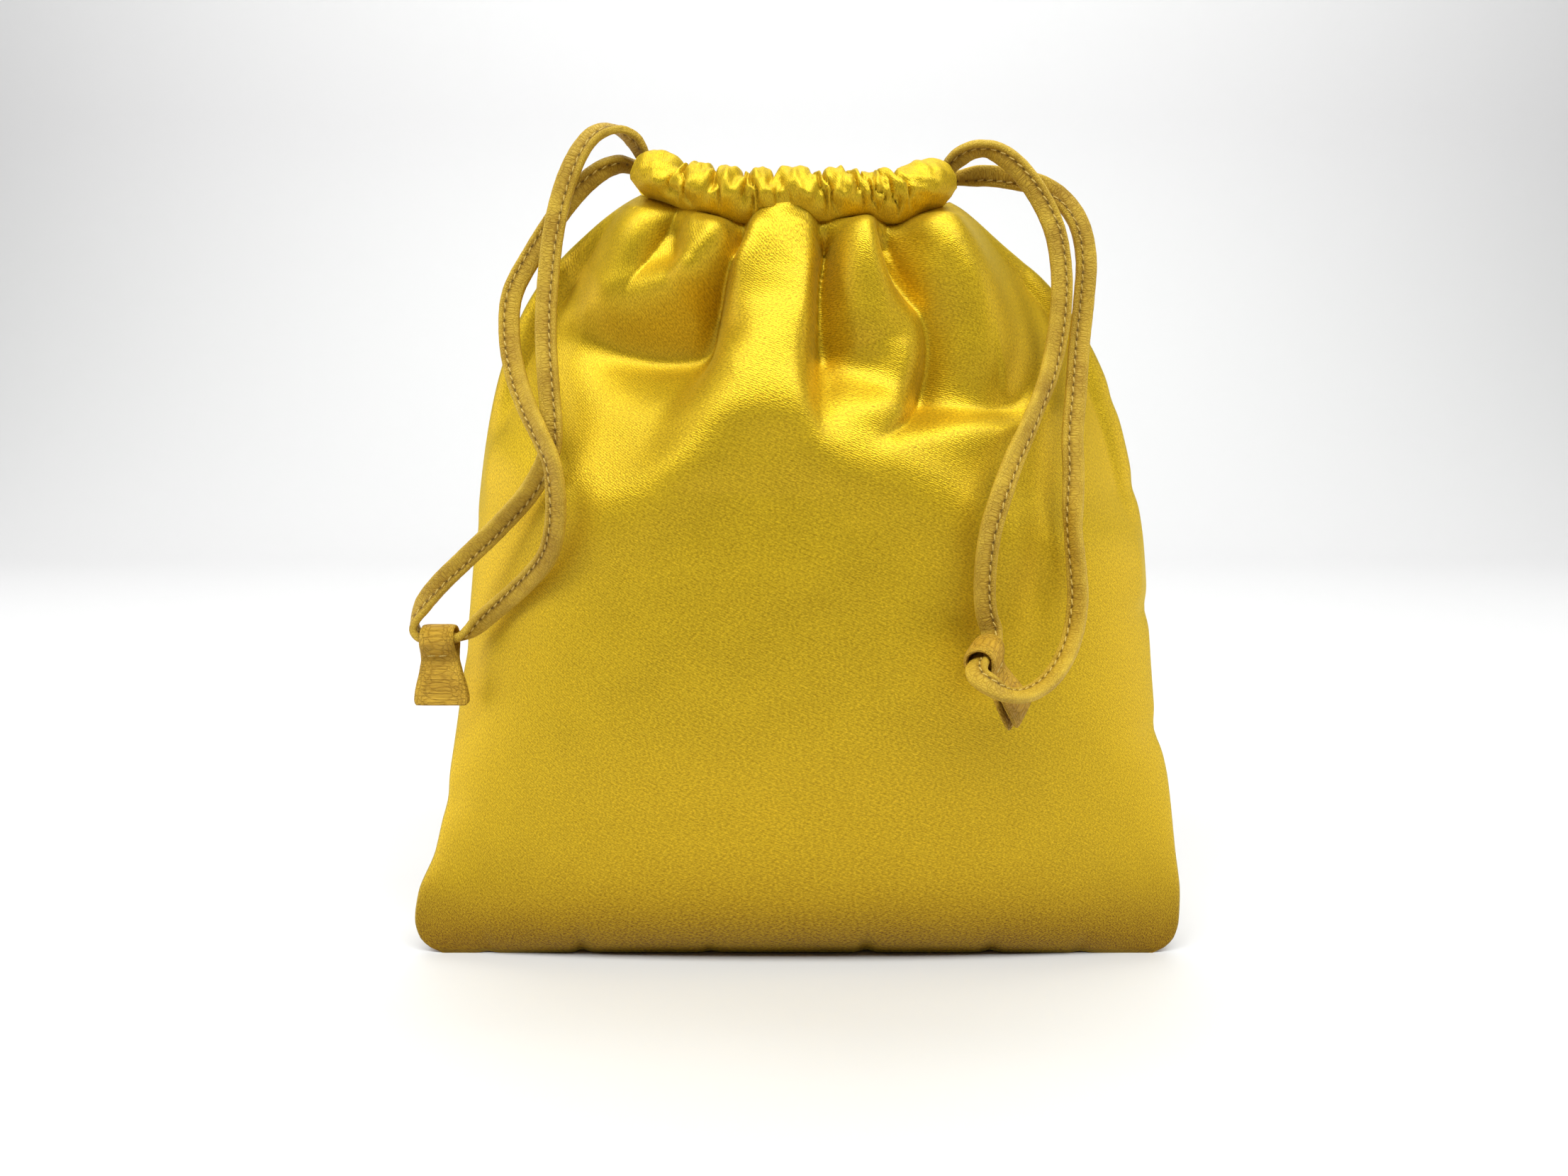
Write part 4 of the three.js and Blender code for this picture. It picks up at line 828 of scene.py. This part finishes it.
# %% [markdown]
# Satin
#
# Satin floats most of its threads on the face, so it shines in broad, coloured patches that follow the
# folds, and its shadows stay warm. A metallic share tints the shine with the cloth's own gold, and a weak
# sheen lightens the edges that turn away. The ribs make the fine glitter that breaks the shine up.

# %% Satin material
def new_material(name, **values):
    """A material with values on its Principled shader: returns it, its tree and the shader's inputs."""
    material = bpy.data.materials.new(name)
    material.use_nodes = True
    inputs = material.node_tree.nodes["Principled BSDF"].inputs
    for label, value in values.items():
        inputs[label.replace("_", " ")].default_value = value
    return material, material.node_tree, inputs


def two_tone(tree, factor, dark, light, clamp=True):
    """A colour on the way from dark to light."""
    return add_node(tree, "ShaderNodeMix", {"data_type": "RGBA", "clamp_factor": clamp}, i0=factor, i6=dark,
                    i7=light).outputs[2]


def dress(tree, inputs, colour, height, strength, distance):
    """Links a colour to the shader, and the bump that a height gives."""
    tree.links.new(colour, inputs["Base Color"])
    bump = add_node(tree, "ShaderNodeBump", Strength=strength, Distance=distance, Height=height)
    tree.links.new(bump.outputs[0], inputs["Normal"])


def make_satin(name, dark, light):
    """Principled satin: the ribs and flecks mix two golds, the slow noise shifts them, a painted shade darkens the foot
    for the shadow where it meets the table, and the ribs' height gives the bump."""
    material, tree, inputs = new_material(
        name, Metallic=0.75, Specular_IOR_Level=0.4, Specular_Tint=(1.0, 0.9, 0.2, 1), Coat_Weight=0.26,
        Coat_Roughness=0.48, Sheen_Weight=0.15, Sheen_Roughness=0.4, Sheen_Tint=(1.0, 0.85, 0.15, 1))
    place = add_node(tree, "ShaderNodeUVMap", {"uv_map": "cloth_map"}).outputs[0]
    woven = add_node(tree, "ShaderNodeGroup", {"node_tree": satin_threads}, Map=place, Pitch=0.62).outputs
    foot = add_node(tree, "ShaderNodeAttribute", {"attribute_name": "painted_foot_shade"}).outputs["Fac"]
    mixing = sums(tree, "MULTIPLY_ADD", woven["Ribs"], 0.55, sums(tree, "MULTIPLY", woven["Uneven"], 0.45))
    mixing = sums(tree, "MULTIPLY_ADD", sums(tree, "SUBTRACT", woven["Flecks"], 0.5), 4.0, mixing)
    # Painted shade: near the foot the mix runs below the dark gold, for the shadow where the pouch meets the table
    mixing = sums(tree, "MULTIPLY_ADD", foot, -2.0, mixing)
    tree.links.new(sums(tree, "MULTIPLY_ADD", woven["Uneven"], 0.12, 0.41), inputs["Roughness"])
    dress(tree, inputs, two_tone(tree, mixing, dark, light, clamp=False), woven["Height"], 0.35, 0.0002)
    return material


satin = make_satin("golden_satin", (0.507, 0.316, 0.0073, 1), (0.670, 0.437, 0.0126, 1))
print("satin ready")

# %% [markdown]
# Tan leather and gold thread
#
# The leather is a warm tan with a dry, low shine. The cracks and the stitch groove are coloured darker, and handling
# rubs the rolled edges paler. The strap's masks carry where its rim and groove are, so the same material serves
# straps and tabs. The thread is a twisted gold yarn, so fine diagonal ridges run round it.

# %% Leather material
NEEDLE_HOLE = (0.06, 0.028, 0.003, 1)


def make_leather(name, dark, light, pebbles, wrinkles, relief):
    """Principled leather: cracks and groove darken, the rim lightens, the needle holes between the stitches are
    nearly black where -cos of the way along is high, and the grain's height gives the bump."""
    material, tree, inputs = new_material(name, Specular_IOR_Level=0.4, Specular_Tint=(1.0, 0.84, 0.5, 1))
    place = add_node(tree, "ShaderNodeUVMap", {"uv_map": "cloth_map"}).outputs[0]
    grain = add_node(tree, "ShaderNodeGroup", {"node_tree": leather_grain}, Map=place, Pebbles=pebbles,
                     Wrinkles=wrinkles).outputs
    rim, groove = (add_node(tree, "ShaderNodeAttribute", {"attribute_name": mask}).outputs["Fac"]
                   for mask in ("rim", "groove"))
    shade = sums(tree, "MULTIPLY_ADD", grain["Uneven"], 0.9, sums(tree, "MULTIPLY", rim, 0.25))
    shade = sums(tree, "MULTIPLY_ADD", grain["Cracks"], -0.3, shade)
    shade = sums(tree, "MULTIPLY_ADD", groove, -0.45, shade, clamp=True)
    along = add_node(tree, "ShaderNodeSeparateXYZ", i0=place).outputs[0]
    angle = sums(tree, "MULTIPLY", sums(tree, "SUBTRACT", along, STITCH_START), 2 * math.pi / STITCH_STEP)
    between = sums(tree, "MULTIPLY_ADD", sums(tree, "COSINE", angle), -1.8, -0.5, clamp=True)
    hole = sums(tree, "MULTIPLY", between, sums(tree, "POWER", groove, 3.0))
    tree.links.new(sums(tree, "MULTIPLY_ADD", grain["Cracks"], 0.15, 0.46), inputs["Roughness"])
    colour = two_tone(tree, hole, two_tone(tree, shade, dark, light), NEEDLE_HOLE)
    dress(tree, inputs, colour, grain["Height"], relief, 0.0004)
    return material


strap_leather = make_leather("tan_strap_leather", (0.31, 0.160, 0.010, 1), (0.72, 0.462, 0.046, 1), 1.5, 1.2, 0.6)
tab_leather = make_leather("tan_tab_leather", (0.40, 0.198, 0.013, 1), (0.88, 0.515, 0.052, 1), 0.85, 1.2, 1.1)


# %% Thread material
def make_thread(name, dark, light):
    """Principled thread: a slanted wave gives the twist of the yarn, in colour and in bump."""
    material, tree, inputs = new_material(name, Roughness=0.5)
    place = add_node(tree, "ShaderNodeUVMap", {"uv_map": "cloth_map"}).outputs[0]
    twist = add_node(tree, "ShaderNodeTexWave", {"wave_type": "BANDS", "bands_direction": "DIAGONAL"}, Vector=place,
                     Scale=1.6, Distortion=0.6).outputs[1]
    dress(tree, inputs, two_tone(tree, twist, dark, light), twist, 0.4, 0.0001)
    return material


gold_thread = make_thread("gold_thread", (0.42, 0.25, 0.03, 1), (0.70, 0.48, 0.11, 1))
print("leather and thread ready")

# %% Put the materials on
sewn = [*threads.values(), *catches.values()]
for material, pieces in ((satin, cloth.values()), (strap_leather, straps.values()), (tab_leather, tabs.values()),
                         (gold_thread, sewn)):
    for piece in pieces:
        piece.data.materials.append(material)
print("dressed:", len(cloth) + len(straps) + len(tabs) + len(sewn), "pieces")

# %% [markdown]
# Put each piece on the body
#
# Every new piece rides on the pouch's one body and stands in for its plain solid, which is hidden.

# %% Ride and replace
leather = {f"{side}_{node}": group[side] for node, group in (("drawcord", straps), ("tab", tabs)) for side in LOOPS}
for node, piece in {**cloth, **leather}.items():
    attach(piece, "root")
    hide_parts(node)
for piece in sewn:
    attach(piece, "root")

print("declared:", len(straps), "cords and 2 sheets of", CUT_SIZE, "m")

# %% [markdown]
# The stretch of cord inside the channel
#
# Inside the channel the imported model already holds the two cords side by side. They only show as a glimpse
# through the slits and the mouth. Their solids stay, and take a leather that reads Object coordinates,
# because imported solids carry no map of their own.

# %% Leather for the hidden runs
def make_run_leather(name, dark, light):
    """The same grain, read from Object coordinates in millimetres."""
    material, tree, inputs = new_material(name, Roughness=0.5)
    place = add_node(tree, "ShaderNodeTexCoord").outputs["Object"]
    size = add_node(tree, "ShaderNodeMapping", Vector=place, Scale=(1 / MM, 1 / MM, 1 / MM)).outputs[0]
    grain = add_node(tree, "ShaderNodeGroup", {"node_tree": leather_grain}, Map=size, Pebbles=1.5,
                     Wrinkles=0.8).outputs
    dress(tree, inputs, two_tone(tree, grain["Uneven"], dark, light), grain["Height"], 0.5, 0.0004)
    return material


run_leather = make_run_leather("tan_run_leather", (0.25, 0.127, 0.008, 1), (0.56, 0.35, 0.036, 1))
for node in ("left_drawcord_run", "right_drawcord_run"):
    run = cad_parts[node]
    run.data.materials.clear()
    run.data.materials.append(run_leather)
print("runs dressed")

# %% [markdown]
# Studio
#
# The pouch stands on a white table that bends up into a white wall, under a broad soft light from above and
# in front. The light is faintly lemon, which keeps the satin fresh, and the table's white leans the other
# way, so that it still looks white. Weaker panels at the sides keep the shadows open. The table is a profile
# carried along x, so the bend between table and wall has no edge.

# %% Table and wall
TABLE_FRONT, WALL_BACK, WALL_TOP, BEND_RADIUS, HALF_LENGTH = -0.5, 1.2, 2.2, 0.45, 2.2
bend = np.linspace(-np.pi / 2, 0, 24)
profile = np.vstack([[[TABLE_FRONT, 0.0]],
                     np.stack([WALL_BACK + BEND_RADIUS * (np.cos(bend) - 1), BEND_RADIUS * (1 + np.sin(bend))], axis=1),
                     [[WALL_BACK, WALL_TOP]]])
floor_x, row = np.meshgrid([-HALF_LENGTH, HALF_LENGTH], np.arange(len(profile)))
floor_points = np.stack([floor_x, profile[row, 0], profile[row, 1]], axis=-1).reshape(-1, 3)
floor_faces = sheet_faces(len(profile), 2)
floor = new_piece("table_and_wall", floor_points / MM, [floor_faces], np.zeros((floor_faces.size, 2)))
floor.data.materials.append(new_material("table_white", Base_Color=(0.655, 0.62, 0.655, 1), Roughness=0.6)[0])


# %% Lights
def soft_light(name, place, aim, width, height, power, tint=(1.0, 1.0, 1.0)):
    """A rectangular area light at place that points at aim."""
    data = bpy.data.lights.new(name, "AREA")
    data.color = tint
    data.shape, data.size, data.size_y, data.energy = "RECTANGLE", width, height, power
    light = bpy.data.objects.new(name, data)
    light.location = place
    x, y, z = np.subtract(aim, place)
    light.rotation_euler = (math.atan2(math.hypot(x, y), -z), 0, math.atan2(y, x) - math.pi / 2)
    scene.collection.objects.link(light)


LEMON = (0.93, 1.0, 0.93)
soft_light("front_softbox", (0.0, -0.62, 1.1), (0, 0, 0.1), 2.2, 0.4, 29.4, LEMON)
soft_light("left_panel", (-1.0, 0.05, 0.25), (0, 0, 0.08), 0.7, 0.5, 3.3)
soft_light("right_panel", (1.0, 0.05, 0.25), (0, 0, 0.08), 0.7, 0.5, 2.3)
soft_light("wall_light", (0.0, 0.5, 1.4), (0, 1.1, 0.3), 1.6, 0.9, 19.2, LEMON)
world = bpy.data.worlds.new("studio_air")
world.use_nodes = True
air = world.node_tree.nodes["Background"].inputs
air["Color"].default_value = (1, 1, 1, 1)
air["Strength"].default_value = 0.02
scene.world = world
scene.view_settings.view_transform = "Standard"
print("lights:", ", ".join(light.name for light in bpy.data.lights))
